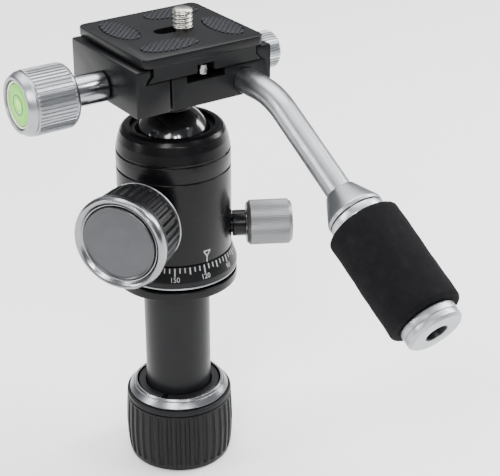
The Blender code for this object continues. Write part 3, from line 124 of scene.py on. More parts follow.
def smooth_profile(corners: Sequence[Corner], closed: bool, steps: int = 5) -> list[Vector]:
    """Turns each corner that has a third number into an arc of that radius.

    Args:
        corners: The profile's corners in order.
        closed: Whether the last corner joins the first.
        steps: How many chords an arc has.

    Returns:
        Points in the XZ plane.
    """
    points: list[Vector] = []
    count = len(corners)
    for i, corner in enumerate(corners):
        here = Vector(corner[:2])
        fillet = corner[2] if len(corner) > 2 else 0.0
        if fillet <= 0.0 or (not closed and i in (0, count - 1)):
            points.append(Vector((here.x, 0.0, here.y)))
            continue
        back = Vector(corners[i - 1][:2]) - here
        ahead = Vector(corners[(i + 1) % count][:2]) - here
        half = back.angle(ahead) / 2
        reach = min(fillet / math.tan(half), LONGEST_ARC * back.length, LONGEST_ARC * ahead.length)
        radius = reach * math.tan(half)
        inwards = (back.normalized() + ahead.normalized()).normalized()
        centre = here + inwards * (radius / math.sin(half))
        first = here + back.normalized() * reach - centre
        last = here + ahead.normalized() * reach - centre
        start = math.atan2(first.y, first.x)
        sweep = (math.atan2(last.y, last.x) - start + math.pi) % math.tau - math.pi
        for k in range(steps + 1):
            angle = start + sweep * k / steps
            across, up = radius * math.cos(angle), radius * math.sin(angle)
            points.append(Vector((centre.x + across, 0.0, centre.y + up)))
    return points


def spun(
    corners: Sequence[Corner], sides: int, closed: bool = True, sweep: float = math.tau
) -> bmesh.types.BMesh:
    """Spins a profile about Z.

    Args:
        corners: Radius, height and optional rounding of each corner. An open profile ends on the axis.
        sides: How many sides a full turn has.
        closed: Whether the profile is a loop, as of a ring.
        sweep: The angle that it turns through.

    Returns:
        The mesh, in millimetres in the piece's own space.
    """
    bm = bmesh.new()
    verts = [bm.verts.new(point) for point in smooth_profile(corners, closed)]
    edges = [bm.edges.new(pair) for pair in zip(verts, verts[1:])]
    if closed:
        edges.append(bm.edges.new((verts[-1], verts[0])))
    full = sweep >= math.tau
    bmesh.ops.spin(
        bm,
        geom=verts + edges,
        cent=(0.0, 0.0, 0.0),
        axis=(0.0, 0.0, 1.0),
        dvec=(0.0, 0.0, 0.0),
        angle=sweep,
        steps=sides,
        use_merge=full,
        use_normal_flip=False,
        use_duplicate=False,
    )
    bmesh.ops.remove_doubles(bm, verts=bm.verts, dist=MERGE)
    if not full:
        rim = [edge for edge in bm.edges if edge.is_boundary]
        bmesh.ops.holes_fill(bm, edges=rim, sides=0)
    bmesh.ops.recalc_face_normals(bm, faces=bm.faces)
    return bm


def push_out(bm: bmesh.types.BMesh, push: Push) -> None:
    """Moves each point along its radius.

    Args:
        bm: The mesh, with its axis along Z.
        push: What gives the step for a point's angle, height and radius.
    """
    for vert in bm.verts:
        radius = math.hypot(vert.co.x, vert.co.y)
        if radius < ON_AXIS:
            continue
        step = push(math.atan2(vert.co.y, vert.co.x), vert.co.z, radius)
        if step:
            vert.co.xy = vert.co.xy * ((radius + step) / radius)


def block(
    bm: bmesh.types.BMesh,
    size: Sequence[float],
    at: Sequence[float],
    turn: float = 0.0,
    soft: float = 0.0,
) -> None:
    """Adds a block with rounded edges.

    Args:
        bm: The mesh that it joins.
        size: Its sides.
        at: Its centre.
        turn: Its turn about Z, in radians.
        soft: How much its edges are rounded.
    """
    turned = Matrix.Rotation(turn, 4, "Z") @ Matrix.Diagonal((*size, 1.0))
    place = Matrix.Translation(Vector(at)) @ turned
    made = bmesh.ops.create_cube(bm, size=1.0, matrix=place)
    if soft > 0.0:
        edges = {edge for vert in made["verts"] for edge in vert.link_edges}
        bmesh.ops.bevel(
            bm,
            geom=list(edges),
            offset=soft,
            affect="EDGES",
            segments=2,
            profile=0.5,
            material=-1,
            clamp_overlap=True,
        )


class Wave(Enum):
    """How a ribbed surface rises and falls in one step round, from 0 in a valley to 1 on a crest."""

    TOOTH = (1.0, 0.0)
    RIB = (1.0, 1.0, 1.0, 0.0, 0.0, 0.0)
    GROOVE = (1.0, 1.0, 1.0, 0.0, 0.0)

    def sides(self, count: int) -> int:
        """How many sides a surface with that many ribs is spun with."""
        return count * len(self.value)

    def height(self, angle: float, count: int) -> float:
        """The height at an angle round a surface with that many ribs."""
        step = round((angle % math.tau) / math.tau * self.sides(count))
        return self.value[step % len(self.value)]


def ribbed(wave: Wave, count: int, depth: float, low: float, high: float, outside: float) -> Push:
    """A push that sinks the valleys of ribs between two heights.

    Args:
        wave: The ribs' shape.
        count: How many there are round.
        depth: How deep the valleys are.
        low: Where the ribs start.
        high: Where they end.
        outside: The radius past which the surface has ribs.

    Returns:
        The push for push_out.
    """

    def push(angle: float, height: float, radius: float) -> float:
        """The outward step of one point.

        Args:
            angle: Its angle.
            height: Its height.
            radius: Its radius.

        Returns:
            The step.
        """
        inside = low < height < high and radius > outside
        return depth * (wave.height(angle, count) - 1.0) if inside else 0.0

    return push


def threaded(radius: float, pitch: float, depth: float, low: float, high: float) -> Push:
    """A push that cuts a right-handed thread between two heights.

    Args:
        radius: The radius of the surface that it is cut into.
        pitch: Its pitch.
        depth: Its depth.
        low: Where it starts.
        high: Where it ends.

    Returns:
        The push for push_out.
    """

    def push(angle: float, height: float, found: float) -> float:
        """The outward step of one point, which is less where the thread runs out.

        Args:
            angle: Its angle.
            height: Its height.
            found: Its radius.

        Returns:
            The step.
        """
        if found < radius - 0.05 or not low < height < high:
            return 0.0
        phase = (height / pitch - angle / math.tau) % 1.0
        run_out = min(1.0, (height - low) / (0.4 * pitch), (high - height) / (0.6 * pitch))
        return -depth * run_out * min(1.0, 1.25 * abs(2.0 * phase - 1.0))

    return push


# ---------------------------------------------------------------- finishes


class Sheet:
    """A material's node tree, with short ways to add and join its nodes."""

    def __init__(self, name: str) -> None:
        """Starts a material with its Principled shader.

        Args:
            name: The material's name.
        """
        self.material = bpy.data.materials.new(name)
        self.material.use_nodes = True
        self.tree = self.material.node_tree
        self.shader = self.tree.nodes["Principled BSDF"]

    def node(self, kind: str, **settings: object) -> bpy.types.Node:
        """Adds a node.

        Args:
            kind: The node's type.
            **settings: Its properties.

        Returns:
            The node.
        """
        made = self.tree.nodes.new(kind)
        for key, value in settings.items():
            setattr(made, key, value)
        return made

    def join(self, source: bpy.types.NodeSocket, target: bpy.types.NodeSocket) -> None:
        """Links two sockets."""
        self.tree.links.new(source, target)

    def set(self, **values: object) -> None:
        """Sets the shader's own sockets, with _ for a space in their names."""
        for key, value in values.items():
            self.shader.inputs[key.replace("_", " ")].default_value = value

    def point(self, place: Place, stretch: Sequence[float] = (1.0, 1.0, 1.0)) -> bpy.types.NodeSocket:
        """The point on the object, in the piece's own space.

        Args:
            place: Where the piece's own axis lies.
            stretch: How much each of its axes is stretched.

        Returns:
            The point's socket.
        """
        coordinates = self.node("ShaderNodeTexCoord").outputs["Object"]
        inverse = place.matrix().inverted()
        turned = self.node("ShaderNodeMapping")
        turned.inputs["Location"].default_value = inverse.translation
        turned.inputs["Rotation"].default_value = inverse.to_euler("XYZ")
        self.join(coordinates, turned.inputs["Vector"])
        scaled = self.node("ShaderNodeMapping")
        scaled.inputs["Scale"].default_value = tuple(stretch)
        self.join(turned.outputs[0], scaled.inputs["Vector"])
        return scaled.outputs[0]

    def rings(self, place: Place) -> bpy.types.NodeSocket:
        """A point made of radius and height about an axis, in which noise draws turning lines.

        Args:
            place: Where the axis lies.

        Returns:
            The point's socket.
        """
        point = self.point(place)
        parts = self.node("ShaderNodeSeparateXYZ")
        self.join(point, parts.inputs[0])
        flat = self.node("ShaderNodeCombineXYZ")
        self.join(parts.outputs["X"], flat.inputs["X"])
        self.join(parts.outputs["Y"], flat.inputs["Y"])
        length = self.node("ShaderNodeVectorMath", operation="LENGTH")
        self.join(flat.outputs[0], length.inputs[0])
        ring = self.node("ShaderNodeCombineXYZ")
        self.join(length.outputs["Value"], ring.inputs["X"])
        self.join(parts.outputs["Z"], ring.inputs["Y"])
        return ring.outputs[0]

    def noise(
        self, vector: bpy.types.NodeSocket, scale: float, detail: float = 3.0, rough: float = 0.55
    ) -> bpy.types.NodeSocket:
        """Noise with features of about 1 / scale metres.

        Args:
            vector: The point that it is read at.
            scale: How many features a metre has.
            detail: How many finer layers it has.
            rough: How strong the finer layers are.

        Returns:
            The factor's socket.
        """
        made = self.node("ShaderNodeTexNoise")
        made.inputs["Scale"].default_value = scale
        made.inputs["Detail"].default_value = detail
        made.inputs["Roughness"].default_value = rough
        self.join(vector, made.inputs["Vector"])
        return made.outputs["Fac"]

    def cells(self, vector: bpy.types.NodeSocket, scale: float) -> bpy.types.NodeSocket:
        """The distance to the nearest centre of a pattern of cells.

        Args:
            vector: The point that it is read at.
            scale: How many cells a metre has.

        Returns:
            The distance's socket.
        """
        made = self.node("ShaderNodeTexVoronoi")
        made.inputs["Scale"].default_value = scale
        self.join(vector, made.inputs["Vector"])
        return made.outputs["Distance"]

    def levels(
        self,
        factor: bpy.types.NodeSocket,
        low: float,
        high: float,
        start: float = 0.3,
        end: float = 0.7,
    ) -> bpy.types.NodeSocket:
        """Maps a factor to a range.

        Args:
            factor: What is mapped.
            low: What start becomes.
            high: What end becomes.
            start: The factor's lower end.
            end: The factor's upper end.

        Returns:
            The result's socket.
        """
        made = self.node("ShaderNodeMapRange")
        for key, value in (("From Min", start), ("From Max", end), ("To Min", low), ("To Max", high)):
            made.inputs[key].default_value = value
        self.join(factor, made.inputs["Value"])
        return made.outputs["Result"]

    def colours(
        self, factor: bpy.types.NodeSocket, stops: Sequence[tuple[float, Sequence[float]]]
    ) -> bpy.types.NodeSocket:
        """A colour ramp.

        Args:
            factor: What chooses the colour.
            stops: The factor and the colour of each stop.

        Returns:
            The colour's socket.
        """
        made = self.node("ShaderNodeValToRGB")
        ramp = made.color_ramp
        while len(ramp.elements) < len(stops):
            ramp.elements.new(0.5)
        for element, (position, colour) in zip(ramp.elements, stops):
            element.position = position
            element.color = (*colour, 1.0)
        self.join(factor, made.inputs["Fac"])
        return made.outputs["Color"]

    def bump(
        self,
        height: bpy.types.NodeSocket,
        distance: float,
        under: bpy.types.NodeSocket | None = None,
    ) -> bpy.types.NodeSocket:
        """A bump.

        Args:
            height: Its height, from 0 to 1.
            distance: Its depth in metres.
            under: The bump that it lies on, if there is one.

        Returns:
            The normal's socket.
        """
        made = self.node("ShaderNodeBump")
        made.inputs["Strength"].default_value = 1.0
        made.inputs["Distance"].default_value = distance
        self.join(height, made.inputs["Height"])
        if under is not None:
            self.join(under, made.inputs["Normal"])
        return made.outputs["Normal"]

    def mix(
        self, fine: bpy.types.NodeSocket, share: float, wide: bpy.types.NodeSocket
    ) -> bpy.types.NodeSocket:
        """A share of a fine pattern, added to a wide one.

        Args:
            fine: The fine pattern.
            share: How much of it is added.
            wide: The wide pattern.

        Returns:
            The sum's socket.
        """
        made = self.node("ShaderNodeMath", operation="MULTIPLY_ADD")
        self.join(fine, made.inputs[0])
        made.inputs[1].default_value = share
        self.join(wide, made.inputs[2])
        return made.outputs[0]

    def dress(
        self,
        colour: bpy.types.NodeSocket,
        rough: bpy.types.NodeSocket,
        normal: bpy.types.NodeSocket,
    ) -> bpy.types.Material:
        """Joins the three patterns to the shader.

        Args:
            colour: The base colour.
            rough: The roughness.
            normal: The normal.

        Returns:
            The material.
        """
        self.join(colour, self.shader.inputs["Base Color"])
        self.join(rough, self.shader.inputs["Roughness"])
        self.join(normal, self.shader.inputs["Normal"])
        return self.material


def shade(colour: Sequence[float], factor: float) -> tuple[float, ...]:
    """A colour made lighter or darker."""
    return tuple(min(1.0, channel * factor) for channel in colour)


@dataclass(frozen=True)
class Anodised:
    """Bead-blasted and anodised aluminium, with a fine even grain and faint rubbing."""

    name: str
    colour: tuple[float, float, float]
    rough: float = 0.38
    grain: float = 0.000008
    shine: float = 0.16

    def make(self, place: Place) -> bpy.types.Material:
        """The material for a piece.

        Args:
            place: Where the piece's own axis lies.

        Returns:
            The material.
        """
        sheet = Sheet(self.name)
        point = sheet.point(place)
        wide = sheet.noise(point, 60.0, 4.0)
        rubbed = sheet.noise(sheet.point(place, (1.0, 1.0, 3.0)), 160.0, 4.0, 0.6)
        fine = sheet.noise(point, 7000.0, 2.0, 0.6)
        sheet.set(Specular_IOR_Level=self.shine)
        colour = sheet.colours(wide, ((0.3, shade(self.colour, 0.86)), (0.7, shade(self.colour, 1.16))))
        rough = sheet.levels(rubbed, self.rough - 0.02, self.rough + 0.03)
        return sheet.dress(colour, rough, sheet.bump(fine, self.grain))


@dataclass(frozen=True)
class Turned:
    """Bare or anodised metal off a lathe, with fine lines round its axis."""

    name: str
    colour: tuple[float, float, float]
    rough: float = 0.30
    metallic: float = 1.0
    lines: float = 0.000005
    pitch: float = 5200.0

    def make(self, place: Place) -> bpy.types.Material:
        """The material for a piece, with its lines round the piece's own axis.

        Args:
            place: Where that axis lies.

        Returns:
            The material.
        """
        sheet = Sheet(self.name)
        ring = sheet.rings(place)
        point = sheet.point(place)
        fine = sheet.noise(ring, self.pitch, 3.0, 0.7)
        bands = sheet.noise(ring, self.pitch / 9, 2.0, 0.5)
        haze = sheet.noise(point, 150.0, 4.0, 0.6)
        sheet.set(Metallic=self.metallic, Anisotropic=0.25)
        colour = sheet.colours(haze, ((0.3, shade(self.colour, 0.92)), (0.7, shade(self.colour, 1.06))))
        rough = sheet.levels(bands, self.rough - 0.03, self.rough + 0.04)
        blasted = sheet.bump(sheet.noise(point, 9000.0, 2.0), 0.000004)
        return sheet.dress(colour, rough, sheet.bump(fine, self.lines, blasted))


@dataclass(frozen=True)
class Painted:
    """Paint or lacquer, with a slight orange peel and a clear coat."""

    name: str
    colour: tuple[float, float, float]
    rough: float = 0.3
    coat: float = 0.3
    coat_rough: float = 0.12
    peel: float = 0.000008

    def make(self, place: Place) -> bpy.types.Material:
        """The material for a piece.

        Args:
            place: Where the piece's own axis lies.

        Returns:
            The material.
        """
        sheet = Sheet(self.name)
        point = sheet.point(place)
        peel = sheet.noise(point, 1300.0, 2.0, 0.4)
        haze = sheet.noise(point, 90.0, 5.0, 0.6)
        sheet.set(Coat_Weight=self.coat, Coat_Roughness=self.coat_rough)
        colour = sheet.colours(haze, ((0.3, shade(self.colour, 0.85)), (0.7, shade(self.colour, 1.2))))
        rough = sheet.levels(haze, self.rough - 0.03, self.rough + 0.06)
        return sheet.dress(colour, rough, sheet.bump(peel, self.peel))


@dataclass(frozen=True)
class Moulded:
    """Moulded rubber or plastic, with a fine spark-eroded skin and a little handling shine."""

    name: str
    colour: tuple[float, float, float]
    rough: float = 0.6
    skin: float = 0.00003

    def make(self, place: Place) -> bpy.types.Material:
        """The material for a piece.

        Args:
            place: Where the piece's own axis lies.

        Returns:
            The material.
        """
        sheet = Sheet(self.name)
        point = sheet.point(place)
        skin = sheet.noise(point, 4200.0, 4.0, 0.65)
        worn = sheet.noise(point, 130.0, 4.0, 0.6)
        dust = sheet.noise(point, 900.0, 6.0, 0.75)
        sheet.set(Specular_IOR_Level=0.18)
        stops = ((0.25, shade(self.colour, 0.8)), (0.6, self.colour), (0.8, shade(self.colour, 1.35)))
        mixed = sheet.mix(dust, 0.45, sheet.levels(worn, 0.0, 0.55))
        rough = sheet.levels(worn, self.rough - 0.08, self.rough + 0.06)
        return sheet.dress(sheet.colours(mixed, stops), rough, sheet.bump(skin, self.skin))


@dataclass(frozen=True)
class Foam:
    """Closed-cell foam: open little pits with bright rims, and no shine."""

    name: str
    colour: tuple[float, float, float]
    cell: float = 3600.0
    depth: float = 0.00005

    def make(self, place: Place) -> bpy.types.Material:
        """The material for a piece.

        Args:
            place: Where the piece's own axis lies.

        Returns:
            The material.
        """
        sheet = Sheet(self.name)
        point = sheet.point(place)
        cells = sheet.cells(point, self.cell)
        small = sheet.noise(point, 5200.0, 4.0, 0.7)
        wide = sheet.noise(point, 260.0, 4.0, 0.6)
        sheet.set(Specular_IOR_Level=0.12)
        mixed = sheet.mix(small, 0.7, sheet.levels(wide, 0.0, 0.3))
        stops = (
            (0.30, shade(self.colour, 0.55)),
            (0.58, self.colour),
            (0.72, shade(self.colour, 1.8)),
            (0.84, shade(self.colour, 7.0)),
        )
        rough = sheet.levels(small, 0.88, 1.0)
        pits = sheet.bump(cells, self.depth)
        return sheet.dress(sheet.colours(mixed, stops), rough, sheet.bump(small, 0.00004, pits))


@dataclass(frozen=True)
class Liquid:
    """Coloured liquid under a clear window."""

    name: str
    colour: tuple[float, float, float]

    def make(self, place: Place) -> bpy.types.Material:
        """The material for a piece, with painted light and shade: lighter in the middle, darker just
        inside its rim and pale at its rim.

        Args:
            place: Where the piece's own axis lies.

        Returns:
            The material.
        """
        sheet = Sheet(self.name)
        rim = sheet.node("ShaderNodeSeparateXYZ")
        sheet.join(sheet.rings(place), rim.inputs[0])
        cloud = sheet.noise(sheet.point(place), 420.0, 3.0)
        sheet.set(Coat_Weight=0.25, Coat_Roughness=0.05, Specular_IOR_Level=0.25)
        # Painted light and shade of the domed window: the pale rim is a painted highlight and the darker
        # band inside it is painted shade.
        painted_rim_shading = sheet.levels(rim.outputs["X"], 0.0, 1.0, 0.0008, 0.0066)
        stops = (
            (0.0, shade(self.colour, 1.12)),
            (0.6, self.colour),
            (0.88, shade(self.colour, 0.85)),
            (1.0, (0.42, 0.68, 0.14)),
        )
        rough = sheet.levels(cloud, 0.06, 0.14)
        return sheet.dress(sheet.colours(painted_rim_shading, stops), rough, sheet.bump(cloud, 0.00001))


@dataclass(frozen=True)
class Ground:
    """The pale floor, with a very faint unevenness."""

    name: str
    colour: tuple[float, float, float]

    def make(self, place: Place) -> bpy.types.Material:
        """The material for the floor.

        Args:
            place: Where the pattern is centred.

        Returns:
            The material.
        """
        sheet = Sheet(self.name)
        cloud = sheet.noise(sheet.point(place), 4.0, 4.0)
        grain = sheet.noise(sheet.point(place), 900.0, 3.0)
        colour = sheet.colours(cloud, ((0.3, shade(self.colour, 0.985)), (0.7, self.colour)))
        return sheet.dress(colour, sheet.levels(grain, 0.62, 0.72), sheet.bump(grain, 0.00002))


Finish = Anodised | Turned | Painted | Moulded | Foam | Liquid | Ground

BLACK_ANODISED = Anodised("black_anodised", (0.0042, 0.0044, 0.0048), 0.32)
BLACK_SATIN = Anodised("black_satin", (0.0028, 0.0029, 0.0033), 0.25, 0.000006)
BLACK_GLOSS = Painted("black_gloss", (0.004, 0.004, 0.0045), 0.16, 0.6, 0.10, 0.000001)
COLUMN_GREY = Anodised("column_grey", (0.006, 0.0062, 0.0068), 0.33)
SATIN_ALUMINIUM = Turned("satin_aluminium", (0.42, 0.43, 0.45), 0.30)
BLASTED_ALUMINIUM = Turned("blasted_aluminium", (0.31, 0.32, 0.335), 0.34, 1.0, 0.000004)
POLISHED_ALUMINIUM = Turned("polished_aluminium", (0.30, 0.307, 0.32), 0.20, 1.0, 0.000002)
CAP_GREY = Turned("cap_grey", (0.070, 0.071, 0.075), 0.30, 0.9, 0.000002)
RING_GREY = Turned("ring_grey", (0.24, 0.245, 0.255), 0.24, 1.0, 0.000002)
KNOB_GREY = Turned("knob_grey", (0.185, 0.187, 0.192), 0.42, 1.0, 0.000003)
COLLAR_GREY = Turned("collar_grey", (0.20, 0.205, 0.215), 0.27, 1.0, 0.000006)
ZINC_STEEL = Turned("zinc_steel", (0.50, 0.50, 0.48), 0.28)
NICKEL = Turned("nickel", (0.46, 0.445, 0.41), 0.30, 1.0, 0.000001)
DARK_NICKEL = Turned("dark_nickel", (0.22, 0.22, 0.215), 0.16, 1.0, 0.000002)
BRASS = Turned("turned_brass", (0.62, 0.44, 0.18), 0.30)
SPRING_STEEL = Turned("spring_steel", (0.34, 0.34, 0.35), 0.35)
RUBBER = Moulded("black_rubber", (0.0045, 0.0046, 0.0052), 0.46)
PAD_RUBBER = Moulded("pad_rubber", (0.011, 0.012, 0.015), 0.52, 0.00002)
ACETAL = Moulded("black_acetal", (0.009, 0.009, 0.010), 0.36, 0.000008)
NYLON = Moulded("natural_nylon", (0.68, 0.68, 0.63), 0.42, 0.00001)
VIAL_WHITE = Moulded("vial_white", (0.70, 0.78, 0.58), 0.28, 0.000004)
VIAL_PRINT = Painted("vial_print", (0.010, 0.030, 0.008), 0.25, 0.6)
FOAM = Foam("grip_foam", (0.0042, 0.0042, 0.0050))
LEVEL_GREEN = Liquid("level_liquid", (0.13, 0.58, 0.0))
BUBBLE = Liquid("level_bubble", (0.34, 0.78, 0.05))
SCALE_PAINT = Painted("scale_paint", (0.26, 0.262, 0.268), 0.5, 0.0)
PALE_FLOOR = Ground("pale_floor", (0.90, 0.90, 0.90))


# ---------------------------------------------------------------- making pieces


class Workshop:
    """Makes finished objects from meshes, and keeps one material for each finish and place."""

    def __init__(self) -> None:
        """Starts with no materials and no pieces."""
        self.materials: dict[tuple[Finish, Place], bpy.types.Material] = {}
        self.made: list[str] = []

    def material(self, finish: Finish, place: Place) -> bpy.types.Material:
        """The material of a finish for a place, made once.

        Args:
            finish: The finish.
            place: Where the own axis of what wears it lies.

        Returns:
            The material.
        """
        key = (finish, place)
        if key not in self.materials:
            self.materials[key] = finish.make(place)
        return self.materials[key]

    def piece(
        self,
        bm: bmesh.types.BMesh,
        name: str,
        body: str,
        finish: Finish,
        place: Place = UPRIGHT,
        nodes: Sequence[str] = (),
        slot: str | None = None,
        crease: float = CREASE,
    ) -> bpy.types.Object:
        """Places a mesh in the row frame, finishes it and ties it to its body.

        Args:
            bm: The mesh in its own space, in millimetres. It is freed.
            name: The piece's name.
            body: The body that it rides on.
            finish: Its finish.
            place: Where its own axis lies.
            nodes: The nodes of the frame that it stands for.
            slot: The record's material slot, or that of its first node. It is not used.
            crease: Faces that meet at more than this angle keep a sharp edge.

        Returns:
            The object.
        """
        bmesh.ops.transform(bm, matrix=place.matrix() @ Matrix.Scale(MM, 4), verts=bm.verts)
        for face in bm.faces:
            face.smooth = True
        for edge in bm.edges:
            edge.smooth = len(edge.link_faces) == 2 and edge.calc_face_angle(0.0) < crease
        mesh = bpy.data.meshes.new(name)
        bm.to_mesh(mesh)
        bm.free()
        obj = bpy.data.objects.new(name, mesh)
        bpy.context.scene.collection.objects.link(obj)
        mesh.materials.append(self.material(finish, place))
        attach(obj, body)
        if nodes:
            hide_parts(*nodes)
        self.made.append(name)
        LOG.info("%s rides on %s: %d faces", name, body, len(mesh.polygons))
        return obj

    def smooth_copy(self, node: str, name: str, body: str, finish: Finish, edge: float) -> None:
        """A clean copy of a node's solid, with its flat faces whole and its sharp edges rounded.

        Args:
            node: The node that is copied and stood for.
            name: The piece's name.
            body: The body that it rides on.
            finish: Its finish.
            edge: How much its sharp edges are rounded, in millimetres.
        """
        bm = bmesh.new()
        bm.from_mesh(frame["nodes"][node].data)
        bmesh.ops.transform(bm, matrix=Matrix.Scale(1.0 / MM, 4), verts=bm.verts)
        bmesh.ops.remove_doubles(bm, verts=bm.verts, dist=COPY_MERGE)
        bmesh.ops.dissolve_limit(
            bm, angle_limit=FLAT, verts=bm.verts, edges=bm.edges, use_dissolve_boundaries=False
        )
        made = self.piece(bm, name, body, finish, nodes=(node,))
        soft = made.modifiers.new("soft_edges", "BEVEL")
        soft.width = edge * MM
        soft.segments = 2
        soft.limit_method = "ANGLE"
        soft.angle_limit = SOFT_EDGE
        soft.harden_normals = True

    def drilled(self, obj: bpy.types.Object, cutters: Sequence[bmesh.types.BMesh]) -> None:
        """Cuts holes through a piece, and leaves no modifier on it.

        Args:
            obj: The piece.
            cutters: What is cut away, each in millimetres in the row frame. They are freed.
        """
        for bm in cutters:
            bmesh.ops.transform(bm, matrix=Matrix.Scale(MM, 4), verts=bm.verts)
            mesh = bpy.data.meshes.new("cutter")
            bm.to_mesh(mesh)
            bm.free()
            cutter = bpy.data.objects.new("cutter", mesh)
            bpy.context.scene.collection.objects.link(cutter)
            hole = obj.modifiers.new("hole", "BOOLEAN")
            hole.object = cutter
            hole.solver = "EXACT"
            bpy.context.view_layer.update()
            evaluated = obj.evaluated_get(bpy.context.evaluated_depsgraph_get())
            cut = bpy.data.meshes.new_from_object(evaluated)
            obj.modifiers.remove(hole)
            obj.data = cut
            bpy.data.objects.remove(cutter)

    def dress_node(self, node: str, finish: Finish, place: Place = UPRIGHT) -> None:
        """Gives a finish to a node of the frame that stays.

        Args:
            node: The node's name.
            finish: Its finish.
            place: Where its own axis lies.
        """
        materials = frame["nodes"][node].data.materials
        materials.clear()
        materials.append(self.material(finish, place))


def peg(place: Place, radius: float, start: float, end: float, sides: int = 32) -> bmesh.types.BMesh:
    """A plain cylinder for cutting a hole.

    Args:
        place: Where its axis lies.
        radius: Its radius.
        start: Where it starts on the axis.
        end: Where it ends.
        sides: How many sides it has.

    Returns:
        The mesh, in millimetres in the row frame.
    """
    bm = spun(((0.0, start), (radius, start), (radius, end), (0.0, end)), sides, closed=False)
    into_mm = Matrix.Scale(1.0 / MM, 4) @ place.matrix() @ Matrix.Scale(MM, 4)
    bmesh.ops.transform(bm, matrix=into_mm, verts=bm.verts)
    return bm


@dataclass
class FootCollar:
    """The twist-lock collar at the foot: a fixed bush, its split collet, and a sleeve that turns on it."""

    shop: Workshop
    bush_r: float = 11.3
    bush_out_r: float = 15.2
    bush_top: float = 16.2
    floor: float = 2.5
    collet_r: float = 14.0
    collet_top: float = 27.5
    slit: float = 2.0
    slit_azimuth: float = math.radians(-143.0)
    sleeve_r: float = 16.6
    grip_r: float = 18.4
    foot: float = 0.5
    top: float = 24.6
    ribs: int = 36
    rib_depth: float = 0.6

    def bush(self) -> None:
        """The fixed bush with its closed floor."""
        corners = (
            (0.0, 0.0),
            (self.bush_out_r, 0.0, 0.3),
            (self.bush_out_r, self.bush_top, 0.2),
            (self.bush_r, self.bush_top, 0.2),
            (self.bush_r, self.floor, 0.4),
            (0.0, self.floor),
        )
        bm = spun(corners, 96, closed=False)
        self.shop.piece(bm, "bush_cup", "base", ACETAL, nodes=("base_bush",))

    def collet(self) -> None:
        """The split collet, with its slot to one side of the front."""
        corners = (
            (self.bush_r, self.collet_top, 0.25),
            (self.collet_r, self.collet_top, 0.6),
            (self.collet_r, self.bush_top + 0.3),
            (self.bush_r, self.bush_top + 0.3),
        )
        missing = self.slit / self.collet_r
        bm = spun(corners, 92, sweep=math.tau - missing)
        turn = Matrix.Rotation(self.slit_azimuth + missing / 2, 4, "Z")
        bmesh.ops.transform(bm, matrix=turn, verts=bm.verts)
        self.shop.piece(bm, "split_collet", "base", ACETAL, nodes=("collet",))

    def sleeve(self) -> None:
        """The threaded sleeve under the rubber."""
        corners = (
            (self.collet_r + 0.3, self.top),
            (self.sleeve_r, self.top),
            (self.sleeve_r, self.foot, 0.8),
            (self.bush_out_r + 0.3, self.foot, 0.2),
            (self.bush_out_r + 0.3, self.bush_top + 0.3),
            (self.collet_r + 0.3, self.bush_top + 1.5),
        )
        bm = spun(corners, 96)
        self.shop.piece(bm, "collar_sleeve", "lock_collar", ACETAL, nodes=("collar_core",))

    def rubber(self) -> None:
        """The ribbed rubber grip, with a smooth lip at its top."""
        inner = self.sleeve_r + 0.3
        corners = (
            (inner, self.top),
            (17.80, self.top, 0.9),
            (18.00, 23.00, 0.25),
            (17.45, 22.75, 0.10),
            (17.45, 22.50, 0.10),
            (17.95, 22.30, 0.15),
            (18.00, 21.95),
            (18.05, 21.40),
            (18.25, 17.00),
            (self.grip_r, 12.50),
            (18.22, 7.00),
            (17.85, 2.90),
            (17.70, 2.20),
            (17.55, 1.70),
            (17.30, self.foot, 0.9),
            (inner, self.foot),
        )
        bm = spun(corners, Wave.RIB.sides(self.ribs))
        push_out(bm, ribbed(Wave.RIB, self.ribs, self.rib_depth, 2.5, 21.7, inner + 0.2))
        self.shop.piece(bm, "collar_rubber", "lock_collar", RUBBER, nodes=("collar_grip",))

    def bezel(self) -> None:
        """The bright chamfered ring on top."""
        corners = (
            (self.collet_r + 0.3, 27.8, 0.15),
            (14.85, 27.8, 0.2),
            (15.30, 27.20, 0.08),
            (15.30, 27.00, 0.08),
            (15.60, 26.95, 0.08),
            (16.9, 25.25, 0.25),
            (16.9, 24.9, 0.1),
            (self.collet_r + 0.3, 24.9),
        )
        bm = spun(corners, 128)
        self.shop.piece(bm, "collar_bezel", "lock_collar", COLLAR_GREY, nodes=("collar_ring",))

    def build(self) -> None:
        """Builds the whole collar."""
        self.bush()
        self.collet()
        self.sleeve()
        self.rubber()
        self.bezel()


@dataclass
class Column:
    """The sliding tube and the disc on top of it."""

    shop: Workshop
    radius: float = 11.0
    bore: float = 9.4
    foot: float = 4.3
    top: float = 68.0
    disc_r: float = 20.2
    disc_low: float = 68.3
    disc_high: float = 71.4
    grub_circle: float = 14.0
    grub_hole: float = 1.8

    def build(self) -> None:
        """Builds the tube and the disc, and dresses what stays inside them."""
        tube = (
            (self.bore, self.foot, 0.2),
            (self.radius, self.foot, 0.3),
            (self.radius, self.top, 0.3),
            (self.bore, self.top, 0.2),
        )
        bm = spun(tube, 128)
        self.shop.piece(bm, "column_sleeve", "column", COLUMN_GREY, nodes=("column_tube",))
        disc = (
            (5.0, self.disc_high),
            (self.disc_r, self.disc_high, 0.45),
            (self.disc_r, self.disc_low, 0.45),
            (9.1, self.disc_low, 0.2),
            (9.1, self.disc_low - 10.0, 0.3),
            (5.0, self.disc_low - 10.0),
        )
        bm = spun(disc, 128)
        made = self.shop.piece(bm, "top_disc", "column", BLACK_SATIN, nodes=("column_top_plate",))
        holes = []
        for number in range(3):
            angle = math.radians(120.0 * number - 120.0)
            out = self.grub_circle * MM
            place = Place((out * math.cos(angle), out * math.sin(angle), 0.0))
            holes.append(peg(place, self.grub_hole, self.disc_low - 2, self.disc_high + 2))
            self.shop.dress_node(f"grub_screw_{number + 1}", ZINC_STEEL, place)
        self.shop.drilled(made, holes)
        self.shop.dress_node("column_end_cap", ACETAL)
        self.shop.dress_node("head_stud", ZINC_STEEL)


